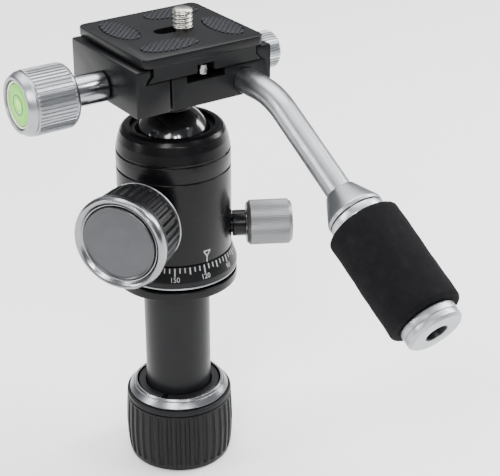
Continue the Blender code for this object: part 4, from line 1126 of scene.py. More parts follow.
@dataclass
class Lettering:
    """Thin raised paint on a cone or cylinder, drawn flat and then wrapped round."""

    radius: float
    height: float
    slope: float = 0.0  # how much the radius shrinks for each millimetre up
    lift: float = 0.03

    def wrap(self, bm: bmesh.types.BMesh, azimuth: float) -> None:
        """Wraps flat geometry round the axis.

        Args:
            bm: The geometry, with Y up and Z outwards.
            azimuth: Where its middle comes to lie.
        """
        for vert in bm.verts:
            across, up, out = vert.co
            radius = self.radius - self.slope * up + self.lift + out
            angle = azimuth + across / radius
            vert.co = (radius * math.cos(angle), radius * math.sin(angle), self.height + up)

    @staticmethod
    def digits(text: str, size: float, at: tuple[float, float], thick: float) -> bmesh.types.BMesh:
        """Digits as a thin mesh.

        Args:
            text: What is written.
            size: The letter size in millimetres.
            at: Where the middle of the text's foot lies.
            thick: How thick the paint is.

        Returns:
            The mesh.
        """
        curve = bpy.data.curves.new("digits", "FONT")
        curve.body = text
        curve.size = size
        curve.align_x = "CENTER"
        curve.extrude = thick / 2
        curve.resolution_u = 3
        holder = bpy.data.objects.new("digits", curve)
        bpy.context.scene.collection.objects.link(holder)
        bpy.context.view_layer.update()
        evaluated = holder.evaluated_get(bpy.context.evaluated_depsgraph_get())
        mesh = bpy.data.meshes.new_from_object(evaluated)
        bpy.data.objects.remove(holder)
        bm = bmesh.new()
        bm.from_mesh(mesh)
        bpy.data.meshes.remove(mesh)
        bmesh.ops.translate(bm, vec=(at[0], at[1], 0.0), verts=bm.verts)
        return bm


def merged(meshes: Sequence[bmesh.types.BMesh]) -> bmesh.types.BMesh:
    """One mesh out of several.

    Args:
        meshes: The meshes. They are freed.

    Returns:
        The mesh that holds them all.
    """
    whole = bmesh.new()
    for bm in meshes:
        mesh = bpy.data.meshes.new("part")
        bm.to_mesh(mesh)
        bm.free()
        whole.from_mesh(mesh)
        bpy.data.meshes.remove(mesh)
    return whole


@dataclass
class PanBase:
    """The base that carries the degree scale and stays on the column while the housing pans."""

    shop: Workshop
    band_r: float = 20.2
    top_r: float = 18.5
    band_top: float = 75.0
    rim_top: float = 73.05
    top: float = 79.9
    step: int = 5
    front_degrees: int = 120
    front_azimuth: float = math.radians(-92.5)

    def base(self) -> None:
        """The coned base with its hub."""
        corners = (
            (5.0, 91.0),
            (9.0, 91.0, 0.3),
            (9.0, self.top),
            (11.1, self.top),
            (11.1, self.top - 1.0),
            (14.5, self.top - 1.0),
            (14.5, self.top),
            (self.top_r, self.top, 0.25),
            (self.band_r, self.band_top, 0.5),
            (self.band_r, self.rim_top + 0.1, 0.08),
            (19.8, self.rim_top),
            (19.8, 72.4),
            (18.6, 72.4),
            (18.6, 71.7),
            (5.0, 71.7),
        )
        bm = spun(corners, 144)
        self.shop.piece(bm, "scale_base", "column", BLACK_ANODISED, nodes=("pan_base",))

    def rim(self) -> None:
        """The bright aluminium ring at the foot of the band."""
        corners = (
            (19.8, self.rim_top),
            (self.band_r - 0.05, self.rim_top),
            (self.band_r, self.rim_top - 0.1),
            (self.band_r - 0.05, 72.65, 0.1),
            (19.9, 72.4, 0.1),
            (19.8, 72.4),
        )
        bm = spun(corners, 144)
        self.shop.piece(bm, "scale_rim", "column", BLASTED_ALUMINIUM, slot="pan_base")

    def scale(self) -> None:
        """The ticks each five degrees and a number each thirty."""
        slope = (self.band_r - self.top_r) / (self.top - self.band_top)
        letters = Lettering(self.top_r + 0.2 * slope, self.top - 0.2, slope)
        marks = []
        for degrees in range(0, 360, self.step):
            length = 2.5 if degrees % 30 == 0 else 2.1 if degrees % 15 == 0 else 1.5
            bm = bmesh.new()
            width = 0.36 if degrees % 15 else 0.44
            block(bm, (width, length, PAINT), (0.0, -length / 2, 0.0))
            azimuth = self.front_azimuth - math.radians(degrees - self.front_degrees)
            letters.wrap(bm, azimuth)
            marks.append(bm)
            if degrees % 30 == 0:
                text = Lettering.digits(str(degrees), 2.2, (0.0, -4.25), PAINT)
                letters.wrap(text, azimuth)
                marks.append(text)
        self.shop.piece(merged(marks), "scale_marks", "column", SCALE_PAINT, slot="pan_base")

    def build(self) -> None:
        """Builds the base and its scale, and dresses the bearing parts."""
        self.base()
        self.rim()
        self.scale()
        self.shop.dress_node("pan_bearing", NYLON)
        self.shop.dress_node("pan_hub_ring", ZINC_STEEL)


@dataclass
class Housing:
    """The round housing of the ball, with its index mark."""

    shop: Workshop
    radius: float = 18.5
    foot: float = 80.2
    top: float = 122.4
    bore: float = 15.0
    mouth: float = 13.5
    mark_azimuth: float = math.radians(-88.7)

    def shell(self) -> None:
        """The housing with its two grooves, rounded shoulder, rim and screw holes."""
        corners = (
            (self.mouth, self.top, 0.35),
            (15.1, self.top, 0.4),
            (16.1, 121.75, 0.6),
            (16.9, 120.6, 1.5),
            (17.75, 117.9, 4.0),
            (18.25, 115.3, 2.0),
            (18.40, 114.7, 0.2),
            (17.95, 114.6, 0.06),
            (17.95, 114.15, 0.06),
            (18.42, 114.0, 0.35),
            (self.radius, 112.0, 1.0),
            (self.radius, 109.1, 0.2),
            (18.05, 109.0, 0.06),
            (18.05, 108.55, 0.06),
            (self.radius, 108.4, 0.35),
            (self.radius, self.foot, 0.4),
            (self.bore, self.foot),
            (self.bore, self.top - 1.3),
            (self.mouth, self.top - 1.3),
        )
        bm = spun(corners, 144)
        made = self.shop.piece(bm, "housing_shell", "housing", BLACK_SATIN, nodes=("housing",))
        pan = peg(Place.of_joint("pan_lock_turn"), 3.15, 12.0, 20.0, 48)
        lock = peg(Place.of_joint("lock_turn"), 3.3, 12.0, 20.0, 48)
        self.shop.drilled(made, (pan, lock))

    def mark(self) -> None:
        """The index mark: a hollow triangle that points down its stem to the scale."""
        wide, high, stem, line = 1.2, 1.9, 2.0, 0.4
        bars = bmesh.new()
        block(bars, (2 * wide, line, PAINT), (0.0, stem + high, 0.0))
        for side in (-1.0, 1.0):
            lean = math.atan2(high, side * wide)
            size = (math.hypot(wide, high), line, PAINT)
            block(bars, size, (side * wide / 2, stem + high / 2, 0.0), lean)
        block(bars, (line, stem + 0.2, PAINT), (0.0, stem / 2, 0.0))
        bmesh.ops.subdivide_edges(bars, edges=bars.edges, cuts=2)
        Lettering(self.radius, self.foot + 0.3).wrap(bars, self.mark_azimuth)
        self.shop.piece(bars, "pan_index", "housing", SCALE_PAINT, slot="housing")

    def build(self) -> None:
        """Builds the shell and its mark, and dresses what works inside."""
        self.shell()
        self.mark()
        for node, finish in (
            ("pan_turntable", SATIN_ALUMINIUM),
            ("pressure_block", BRASS),
            ("cup_spring", SPRING_STEEL),
            ("ball_cup", ACETAL),
            ("upper_seat", ACETAL),
        ):
            self.shop.dress_node(node, finish)


@dataclass
class MainLock:
    """The large knob that clamps the ball. Heights are distances from the column's axis."""

    shop: Workshop
    ribs: int = 34
    rib_depth: float = 0.8
    place: Place = field(default_factory=lambda: Place.of_joint("lock_turn"))

    def hub(self) -> None:
        """The boss and the core of the knob."""
        corners = (
            (0.0, 37.3),
            (11.8, 37.3, 0.2),
            (11.8, 23.65, 0.2),
            (6.2, 23.65, 0.3),
            (6.2, 19.1, 0.2),
            (3.3, 19.1),
            (3.3, 37.0),
            (0.0, 37.0),
        )
        bm = spun(corners, 64, closed=False)
        self.shop.piece(bm, "knob_core", "lock_knob", BLACK_SATIN, self.place, ("lock_knob_hub",))

    def band(self) -> None:
        """The ribbed rubber band, a little wider at the front."""
        corners = (
            (12.1, 24.25),
            (13.60, 24.25, 0.15),
            (13.66, 24.75),
            (13.75, 25.20),
            (13.90, 25.60),
            (14.20, 30.00),
            (14.50, 34.60),
            (14.53, 35.00),
            (14.56, 35.50, 0.1),
            (14.60, 36.50, 0.35),
            (12.1, 36.50),
        )
        bm = spun(corners, Wave.RIB.sides(self.ribs))
        push_out(bm, ribbed(Wave.RIB, self.ribs, self.rib_depth, 25.4, 34.8, 13.0))
        self.shop.piece(bm, "knob_rubber", "lock_knob", RUBBER, self.place, ("lock_knob_grip",))

    def rings(self) -> None:
        """The bright ring at the front, the thin one at the back and the grey cap."""
        front = (
            (12.4, 38.75, 0.1),
            (12.75, 38.75, 0.3),
            (13.6, 39.62, 0.8),
            (14.1, 39.9, 0.5),
            (14.6, 39.9, 0.9),
            (15.28, 38.9, 1.3),
            (15.28, 37.2, 0.35),
            (14.7, 36.8, 0.1),
            (12.4, 36.8),
        )
        bm = spun(front, 144)
        self.shop.piece(bm, "knob_bezel", "lock_knob", RING_GREY, self.place, ("lock_knob_ring",))
        back = ((12.1, 23.65), (13.65, 23.65, 0.2), (13.70, 24.15, 0.15), (12.1, 24.15))
        bm = spun(back, 144)
        self.shop.piece(
            bm, "knob_back_rim", "lock_knob", SATIN_ALUMINIUM, self.place, slot="lock_knob_hub"
        )
        cap = (
            (0.0, 39.75),
            (6.0, 39.62, 9.0),
            (10.8, 39.15, 0.1),
            (11.25, 39.25, 0.4),
            (11.75, 39.6, 0.25),
            (12.1, 39.25, 0.2),
            (12.1, 37.6),
            (0.0, 37.6),
        )
        bm = spun(cap, 144, closed=False)
        self.shop.piece(bm, "knob_cap", "lock_knob", CAP_GREY, self.place, ("lock_knob_cap",))

    def build(self) -> None:
        """Builds the knob and dresses its screw and wedge."""
        self.hub()
        self.band()
        self.rings()
        self.shop.dress_node("lock_screw", ZINC_STEEL, self.place)
        self.shop.dress_node("lock_wedge", ZINC_STEEL, self.place)


@dataclass
class PanLock:
    """The knurled knob that stops the pan. Heights are distances from the column's axis."""

    shop: Workshop
    teeth: int = 80
    depth: float = 0.09
    radius: float = 7.4
    back: float = 23.44
    front: float = 38.17
    place: Place = field(default_factory=lambda: Place.of_joint("pan_lock_turn"))

    def build(self) -> None:
        """Builds the stem and the knob, and dresses the screw and its pad."""
        stem = (
            (2.9, 17.2),
            (3.05, 17.2),
            (3.05, 18.75),
            (4.3, 18.75, 0.3),
            (4.3, 23.14, 0.25),
            (2.9, 23.14),
        )
        bm = spun(stem, 64)
        self.shop.piece(bm, "pan_stem", "pan_knob", BLACK_SATIN, self.place, ("pan_knob_stem",))
        head = (
            (0.0, self.front - 0.25),
            (5.0, self.front - 0.25, 0.1),
            (5.15, self.front, 0.08),
            (self.radius - 0.95, self.front, 0.12),
            (self.radius - 0.2, self.front - 0.85),
            (self.radius, self.front - 1.1),
            (self.radius, self.back + 1.1),
            (self.radius - 0.2, self.back + 0.85),
            (self.radius - 0.95, self.back, 0.12),
            (3.15, self.back),
            (3.15, 31.1),
            (0.0, 31.1),
        )
        bm = spun(head, Wave.TOOTH.sides(self.teeth), closed=False)
        knurled = (self.back + 1.0, self.front - 1.0)
        push_out(bm, ribbed(Wave.TOOTH, self.teeth, self.depth, *knurled, 6.5))
        nodes = ("pan_knob_head",)
        self.shop.piece(bm, "pan_grip", "pan_knob", KNOB_GREY, self.place, nodes, crease=KNURL_CREASE)
        self.shop.dress_node("pan_screw", ZINC_STEEL, self.place)
        self.shop.dress_node("pan_lock_pad", NYLON, self.place)


@dataclass
class BallAndNeck:
    """The glossy ball and the neck that stands on it."""

    shop: Workshop
    radius: float = 12.5
    rings: int = 48
    gap: float = 0.3
    neck_bore: float = 3.15
    neck_r: float = 5.8
    neck_top: float = 134.55

    def build(self) -> None:
        """Builds the ball and its neck."""
        centre = Place(Place.of_joint("ball_tilt").origin)
        turns = [math.pi * k / self.rings for k in range(self.rings + 1)]
        arc = [(self.radius * math.sin(turn), self.radius * math.cos(turn)) for turn in turns]
        arc[0], arc[-1] = (0.0, self.radius), (0.0, -self.radius)
        bm = spun(arc, 96, closed=False)
        self.shop.piece(bm, "ball_sphere", "ball", BLACK_GLOSS, centre, ("ball",))
        seat = self.radius + self.gap
        low = math.sqrt(seat**2 - self.neck_r**2)
        high = self.neck_top - centre.origin[2] / MM
        post = (
            (self.neck_bore, math.sqrt(seat**2 - self.neck_bore**2)),
            (4.6, math.sqrt(seat**2 - 4.6**2)),
            (self.neck_r, low, 0.1),
            (self.neck_r, low + 0.6, 0.2),
            (self.neck_r - 0.5, low + 1.2, 0.3),
            (self.neck_r - 0.5, high - 1.0, 0.3),
            (self.neck_r, high - 0.5, 0.2),
            (self.neck_r, high, 0.1),
            (self.neck_bore, high),
        )
        self.shop.piece(spun(post, 64), "neck_post", "neck", BLACK_SATIN, centre, ("ball_neck",))


@dataclass
class Clamp:
    """The quick-release clamp: its body, its moving jaw, and the screws and pins in them."""

    shop: Workshop

    def build(self) -> None:
        """Builds the clamp body and the jaw, and dresses the screw and the pins."""
        self.shop.smooth_copy("clamp_body", "clamp_block", "clamp", BLACK_ANODISED, edge=0.4)
        self.shop.smooth_copy("moving_jaw", "jaw_block", "jaw", BLACK_ANODISED, edge=0.4)
        self.shop.dress_node("clamp_screw", ZINC_STEEL)
        across = Place.of_joint("clamp_knob_turn")
        self.shop.dress_node("guide_pin_1", ZINC_STEEL, across)
        self.shop.dress_node("guide_pin_2", ZINC_STEEL, across)


@dataclass
class ClampKnob:
    """The knurled knob that draws the jaw in, with a round level. Heights are from the column's axis."""

    shop: Workshop
    teeth: int = 50
    depth: float = 0.45
    radius: float = 10.0
    back: float = 36.3
    front: float = 53.1
    level_r: float = 7.5
    level_depth: float = 3.6
    bolt_r: float = 3.15
    place: Place = field(default_factory=lambda: Place.of_joint("clamp_knob_turn"))

    def head(self) -> None:
        """The knurled head with its chamfered face."""
        floor = self.front - self.level_depth
        corners = (
            (0.0, floor),
            (self.level_r, floor),
            (self.level_r, self.front, 0.2),
            (8.5, self.front, 0.25),
            (8.9, 52.55, 0.3),
            (9.85, 50.75, 0.2),
            (9.55, 50.45, 0.1),
            (9.55, 50.15, 0.1),
            (self.radius - 0.12, 49.9),
            (self.radius, 49.6),
            (self.radius, self.back + 1.7),
            (self.radius - 0.12, self.back + 1.4),
            (self.radius - 0.3, self.back + 0.9),
            (9.0, self.back + 0.15),
            (8.5, self.back, 0.2),
            (5.2, self.back, 0.1),
            (self.bolt_r, self.back),
            (self.bolt_r, 46.0),
            (0.0, 46.0),
        )
        bm = spun(corners, Wave.GROOVE.sides(self.teeth), closed=False)
        push_out(bm, ribbed(Wave.GROOVE, self.teeth, self.depth, self.back + 1.5, 49.8, 9.8))
        self.shop.piece(
            bm,
            "clamp_grip",
            "clamp_knob",
            BLASTED_ALUMINIUM,
            self.place,
            ("clamp_knob_head",),
            crease=KNURL_CREASE,
        )

    def shaft(self) -> None:
        """The polished shaft between the jaw and the head."""
        corners = (
            (self.bolt_r, 24.1),
            (4.75, 24.1, 0.4),
            (4.75, 36.0, 0.3),
            (self.bolt_r, 36.0),
        )
        nodes = ("clamp_knob_shaft",)
        self.shop.piece(
            spun(corners, 96), "lever_shaft", "clamp_knob", POLISHED_ALUMINIUM, self.place, nodes
        )

    def level(self) -> None:
        """The bubble level: its cup, its liquid under a window, the printed ring and the bubble."""
        body = "clamp_knob"
        cup = (
            (0.0, 49.8),
            (7.2, 49.8, 0.1),
            (7.2, 52.5, 0.2),
            (6.6, 52.5, 0.15),
            (6.6, 50.4),
            (0.0, 50.4),
        )
        bm = spun(cup, 96, closed=False)
        self.shop.piece(bm, "level_bezel", body, VIAL_WHITE, self.place, ("level_cup",))
        vial = ((0.0, 50.7), (6.3, 50.7), (6.3, 52.35, 0.25), (5.0, 52.48, 3.0), (0.0, 52.55))
        bm = spun(vial, 96, closed=False)
        self.shop.piece(bm, "level_window", body, LEVEL_GREEN, self.place, ("level_vial",))
        ring = ((2.75, 52.4), (2.75, 52.6, 0.03), (3.2, 52.59, 0.03), (3.2, 52.4))
        bm = spun(ring, 72)
        self.shop.piece(bm, "level_circle", body, VIAL_PRINT, self.place, slot="level_vial")
        bubble = ((0.0, 52.4), (1.5, 52.45), (1.55, 52.56, 0.05), (1.2, 52.66, 0.3), (0.0, 52.7))
        bm = spun(bubble, 48, closed=False)
        bmesh.ops.translate(bm, vec=(0.45, 0.5, 0.0), verts=bm.verts)
        self.shop.piece(bm, "level_bubble", body, BUBBLE, self.place, slot="level_vial")

    def build(self) -> None:
        """Builds the knob and dresses its bolt."""
        self.head()
        self.shaft()
        self.level()
        self.shop.dress_node("clamp_bolt", ZINC_STEEL, self.place)


@dataclass
class TopPlate:
    """The dovetail plate with its four ribbed pads, stop screws and camera screw."""

    shop: Workshop
    pad_long: float = 19.0
    pad_short: float = 9.0
    pad_low: float = 152.2
    pad_high: float = 153.1
    pad_rib_high: float = 0.32
    pitch: float = 1.45
    rib_width: float = 0.8
    shortest_rib: float = 1.2
    slant: float = math.radians(45.0)
    pads: tuple[tuple[float, float, float], ...] = (
        (-13.4, 7.5, 90.0),
        (9.0, 14.0, 0.0),
        (15.5, -5.8, 90.0),
        (-7.5, -12.3, 0.0),
    )
    screw_r: float = 3.175
    core_r: float = 2.25
    thread_pitch: float = 1.27
    thread_depth: float = 0.62
    thread_row: float = 0.12  # how far apart the rows of points on the thread are
    pin_y: float = 18.0

    def pad(self, number: int) -> None:
        """One oval pad: a thin base with slanted ribs that end at its edge.

        Args:
            number: Which pad, from 1.
        """
        x, y, turn = self.pads[number - 1]
        half_x, half_y = self.pad_long / 2, self.pad_short / 2
        if turn:
            half_x, half_y = half_y, half_x
        bm = bmesh.new()
        base_high = self.pad_high - self.pad_rib_high
        flat = Matrix.Diagonal((half_x - 0.12, half_y - 0.12, 1.0, 1.0))
        oval = Matrix.Translation((x, y, self.pad_low)) @ flat
        rim = bmesh.ops.create_circle(bm, cap_ends=True, radius=1.0, segments=64, matrix=oval)
        face = rim["verts"][0].link_faces[0]
        grown = bmesh.ops.extrude_face_region(bm, geom=[face])
        moved = [item for item in grown["geom"] if isinstance(item, bmesh.types.BMVert)]
        bmesh.ops.translate(bm, vec=(0.0, 0.0, base_high - self.pad_low), verts=moved)
        bmesh.ops.recalc_face_normals(bm, faces=bm.faces)
        along = Vector((math.cos(self.slant), math.sin(self.slant)))
        side = Vector((-along.y, along.x))
        span = math.hypot(half_x * side.x, half_y * side.y)
        count = int(span / self.pitch)
        for k in range(-count, count + 1):
            offset = k * self.pitch
            a = (along.x / half_x) ** 2 + (along.y / half_y) ** 2
            b = 2 * offset * (along.x * side.x / half_x**2 + along.y * side.y / half_y**2)
            c = (offset * side.x / half_x) ** 2 + (offset * side.y / half_y) ** 2 - 1.0
            root = math.sqrt(max(0.0, b * b - 4 * a * c))
            length = root / a - 0.1
            if length < self.shortest_rib:
                continue
            middle = side * offset + along * (-b / (2 * a))
            at = (x + middle.x, y + middle.y, (base_high - 0.2 + self.pad_high) / 2)
            size = (length, self.rib_width, self.pad_high - base_high + 0.2)
            block(bm, size, at, self.slant, 0.16)
        self.shop.piece(bm, f"pad_ribs_{number}", "plate", PAD_RUBBER, nodes=(f"pad_{number}",))

    def screws(self) -> None:
        """The camera screw with its thread, and the two stop screws."""
        place = Place((joint_of("screw_turn")["pos_m"][0], 0.0, 0.0))
        low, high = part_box("camera_screw")
        top, foot = high.z / MM, low.z / MM
        start = self.pad_high
        count = int((top - 0.9 - start) / self.thread_row)
        rows = [(self.screw_r, start + self.thread_row * k) for k in range(1, count)]
        corners = [
            (0.0, foot + 0.9),
            (0.6, foot + 0.9),
            (0.62, foot),
            (5.6, foot),
            (5.8, foot + 0.2),
            (5.8, foot + 1.5),
            (5.6, foot + 1.7),
            (self.core_r, foot + 1.7),
            (self.core_r, start),
            (self.screw_r, start),
            *rows,
            (self.screw_r, top - 0.9),
            (2.95, top - 0.5),
            (2.45, top - 0.12),
            (2.2, top),
            (0.0, top),
        ]
        bm = spun(corners, 64, closed=False)
        thread = threaded(self.screw_r, self.thread_pitch, self.thread_depth, start - 0.1, top - 0.55)
        push_out(bm, thread)
        body = "camera_screw"
        self.shop.piece(bm, "scope_screw", body, NICKEL, place, (body,), crease=math.radians(75))
        self.shop.dress_node("screw_washer", ZINC_STEEL, place)
        for y, node, name in (
            (-self.pin_y, "stop_screw_front", "stop_pin_front"),
            (self.pin_y, "stop_screw_rear", "stop_pin_rear"),
        ):
            low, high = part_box(node)
            foot, top = low.z / MM, high.z / MM
            pin = (
                (0.0, foot + 0.5),
                (0.75, foot + 0.5),
                (0.8, foot, 0.05),
                (1.65, foot, 0.8),
                (1.65, foot + 3.3, 0.9),
                (0.9, foot + 3.3),
                (0.9, top, 0.1),
                (0.0, top),
            )
            at = Place((0.0, y * MM, 0.0))
            self.shop.piece(spun(pin, 48, closed=False), name, "plate", DARK_NICKEL, at, (node,))

    def build(self) -> None:
        """Builds the plate and what is on it."""
        self.shop.smooth_copy("plate", "dovetail_plate", "plate", BLACK_ANODISED, edge=0.22)
        for number in range(1, len(self.pads) + 1):
            self.pad(number)
        self.screws()


@dataclass
class PanHandle:
    """The bent handle. Heights on the grip are distances from the corner of its two straight lines."""

    shop: Workshop
    x: float = 14.24
    height: float = 139.5
    rod_r: float = 4.0
    stub_end: float = 3.5
    bend_start: float = -28.03
    bend_r: float = 26.0
    corner_y: float = -35.0
    drop: float = math.radians(30.0)
    rod_end: float = 86.3
    hole_r: float = 3.0
    hole_depth: float = 12.0
    bore: float = 4.3
    cap_r: float = 8.6
    foam_r: float = 11.25

    def grip_place(self) -> Place:
        """The axis of the grip."""
        corner = (self.x * MM, self.corner_y * MM, self.height * MM)
        return Place(corner, (0.0, -math.cos(self.drop), -math.sin(self.drop)))

    def rod(self) -> None:
        """The bent rod: a circle drawn out, bent and drawn out again."""
        bm = bmesh.new()
        stub = Matrix.Translation((self.x, self.stub_end, self.height))
        start = stub @ Matrix.Rotation(math.pi / 2, 4, "X")
        made = bmesh.ops.create_circle(bm, cap_ends=True, radius=self.rod_r, segments=48, matrix=start)
        ring = list({edge for vert in made["verts"] for edge in vert.link_edges})

        ring = self.drawn_out(bm, ring, Vector((0.0, self.bend_start - self.stub_end, 0.0)))
        spun_out = bmesh.ops.spin(
            bm,
            geom=ring,
            cent=(self.x, self.bend_start, self.height - self.bend_r),
            axis=(1.0, 0.0, 0.0),
            dvec=(0.0, 0.0, 0.0),
            angle=self.drop,
            steps=16,
            use_merge=False,
            use_normal_flip=False,
            use_duplicate=False,
        )["geom_last"]
        ring = [g for g in spun_out if isinstance(g, bmesh.types.BMEdge)]
        direction = Vector((0.0, -math.cos(self.drop), -math.sin(self.drop)))
        run = self.rod_end - self.bend_r * math.tan(self.drop / 2)
        ring = self.drawn_out(bm, ring, direction * run)
        end = bmesh.ops.holes_fill(bm, edges=ring, sides=0)["faces"]
        bmesh.ops.inset_region(bm, faces=end, thickness=self.rod_r - self.hole_r)
        sunk = bmesh.ops.extrude_face_region(bm, geom=end)["geom"]
        moved = [g for g in sunk if isinstance(g, bmesh.types.BMVert)]
        bmesh.ops.translate(bm, vec=-direction * self.hole_depth, verts=moved)
        bmesh.ops.delete(bm, geom=end, context="FACES")
        bmesh.ops.remove_doubles(bm, verts=bm.verts, dist=MERGE)
        bmesh.ops.recalc_face_normals(bm, faces=bm.faces)
        place = self.grip_place()
        into_place = (place.matrix() @ Matrix.Scale(MM, 4)).inverted() @ Matrix.Scale(MM, 4)
        bmesh.ops.transform(bm, matrix=into_place, verts=bm.verts)
        self.shop.piece(bm, "handle_rod", "handle", BLASTED_ALUMINIUM, place, ("handle_arm",))

    def drawn_out(
        self, bm: bmesh.types.BMesh, ring: list[bmesh.types.BMEdge], step: Vector
    ) -> list[bmesh.types.BMEdge]:
        """Draws an open ring out into a tube.

        Args:
            bm: The mesh.
            ring: The ring's edges.
            step: How far it is drawn, and which way.

        Returns:
            The edges of the ring at the tube's new end.
        """
        grown = bmesh.ops.extrude_edge_only(bm, edges=ring)["geom"]
        moved = [g for g in grown if isinstance(g, bmesh.types.BMVert)]
        bmesh.ops.translate(bm, vec=step, verts=moved)
        return [g for g in grown if isinstance(g, bmesh.types.BMEdge) and self.crosswise(g, step)]

    @staticmethod
    def crosswise(edge: bmesh.types.BMEdge, step: Vector) -> bool:
        """Whether an edge lies across a direction, and not along it."""
        along = (edge.verts[1].co - edge.verts[0].co).normalized()
        return abs(along.dot(step.normalized())) < 0.5

    def fittings(self) -> None:
        """The coned ferrule, its ring and the end cap."""
        place = self.grip_place()
        cone = (
            (self.bore, 38.5),
            (4.8, 38.5, 0.3),
            (8.55, 45.9, 0.5),
            (8.7, 46.4, 0.1),
            (8.7, 47.4, 0.15),
            (self.bore, 47.4),
        )
        bm = spun(cone, 128)
        self.shop.piece(bm, "grip_cone", "handle", BLASTED_ALUMINIUM, place, ("handle_ferrule",))
        ring = ((self.bore, 47.7), (8.7, 47.7, 0.3), (8.7, 50.3, 0.4), (self.bore, 50.3))
        bm = spun(ring, 128)
        self.shop.piece(bm, "grip_ring", "handle", SATIN_ALUMINIUM, place, ("ferrule_ring",))
        cap = (
            (3.5, 89.2, 0.15),
            (self.cap_r - 0.8, 89.2, 0.15),
            (self.cap_r, 88.4, 0.15),
            (self.cap_r, 87.0, 0.08),
            (8.3, 86.95, 0.05),
            (8.3, 86.6, 0.05),
            (self.cap_r, 86.55, 0.08),
            (self.cap_r, 84.3, 0.3),
            (self.bore, 84.3),
            (self.bore, 86.9),
            (3.5, 86.9),
        )
        bm = spun(cap, 128)
        self.shop.piece(bm, "grip_end", "handle", BLASTED_ALUMINIUM, place, ("handle_end_cap",))

    def socket(self) -> None:
        """A black sleeve in the hole of the handle's end: painted shade, which darkens the hole as its
        depth would.
        """
        inner = self.hole_r - 0.35
        foot = self.rod_end - self.hole_depth + 0.1
        corners = (
            (0.0, foot),
            (self.hole_r - 0.02, foot),
            (self.hole_r - 0.02, self.rod_end + 0.1),
            (3.48, self.rod_end + 0.7),
            (3.48, 88.95, 0.1),
            (3.2, 88.95, 0.1),
            (inner, self.rod_end + 0.5),
            (inner, foot + 0.5),
            (0.0, foot + 0.5),
        )
        bm = spun(corners, 64, closed=False)
        # The black sleeve is painted shade: it makes the hole as dark as the shade deep inside it.
        self.shop.piece(bm, "grip_socket", "handle", ACETAL, self.grip_place(), slot="handle_end_cap")

    def foam(self) -> None:
        """The foam sleeve, with soft rounded ends that turn in to the rod."""
        place = self.grip_place()
        waist = self.foam_r - 0.06
        rows = [(waist, 53.5 + 2.0 * k) for k in range(15)]
        corners = (
            (self.bore, 50.7),
            (8.2, 50.65, 0.4),
            (self.foam_r, 50.65, 2.3),
            *rows,
            (self.foam_r, 83.95, 2.3),
            (8.2, 83.95, 0.4),
            (self.bore, 83.9),
        )
        bm = spun(corners, 144)

        def pinch(angle: float, height: float, radius: float) -> float:
            """The soft unevenness of the foam's outside.

            Args:
                angle: A point's angle.
                height: Its height.
                radius: Its radius.

            Returns:
                Its outward step.
            """
            broad = 0.05 * math.sin(3 * angle + 0.31 * height)
            close = 0.04 * math.sin(7 * angle - 0.83 * height)
            return broad + close - 0.03 if radius > 9.0 else 0.0

        push_out(bm, pinch)
        crease = math.radians(60)
        sleeve = self.shop.piece(bm, "foam_sleeve", "handle", FOAM, place, ("foam_grip",), crease=crease)

    def build(self) -> None:
        """Builds the handle."""
        self.rod()
        self.fittings()
        self.socket()
        self.foam()


@dataclass
class SideLock:
    """The thumbscrew that holds the handle's stub. Heights are distances from the column's axis."""

    shop: Workshop
    teeth: int = 40
    depth: float = 0.3
    radius: float = 6.1
    place: Place = field(default_factory=lambda: Place.of_joint("handle_lock_turn"))

    def build(self) -> None:
        """Builds the thumbscrew and dresses its tip."""
        corners = (
            (0.0, 38.1),
            (4.0, 38.1),
            (self.radius - 0.8, 38.1, 0.12),
            (self.radius - 0.15, 37.45),
            (self.radius, 37.2),
            (self.radius, 28.9),
            (self.radius - 0.15, 28.65),
            (self.radius - 0.8, 28.0, 0.12),
            (3.4, 28.0, 0.2),
            (3.4, 24.1, 0.2),
            (2.3, 24.1),
            (2.3, 20.44, 0.2),
            (0.0, 20.44),
        )
        bm = spun(corners, Wave.GROOVE.sides(self.teeth), closed=False)
        push_out(bm, ribbed(Wave.GROOVE, self.teeth, self.depth, 28.8, 37.3, 5.5))
        self.shop.piece(
            bm,
            "side_thumbscrew",
            "handle_lock",
            BLASTED_ALUMINIUM,
            self.place,
            ("handle_lock_knob",),
            crease=KNURL_CREASE,
        )
        self.shop.dress_node("handle_lock_tip", NYLON, self.place)


# ---------------------------------------------------------------- the studio


@dataclass
class Softbox:
    """A large soft light that faces a point on the object."""

    name: str
    at: tuple[float, float, float]
    size: tuple[float, float]
    power: float
    aim: tuple[float, float, float] = (0.0, -0.01, 0.09)

    def build(self) -> None:
        """Adds the light to the scene."""
        light = bpy.data.lights.new(self.name, "AREA")
        light.shape = "RECTANGLE"
        light.size, light.size_y = self.size
        light.energy = self.power
        holder = bpy.data.objects.new(self.name, light)
        holder.location = self.at
        towards = Vector(self.aim) - Vector(self.at)
        holder.rotation_euler = towards.to_track_quat("-Z", "Y").to_euler()
        bpy.context.scene.collection.objects.link(holder)


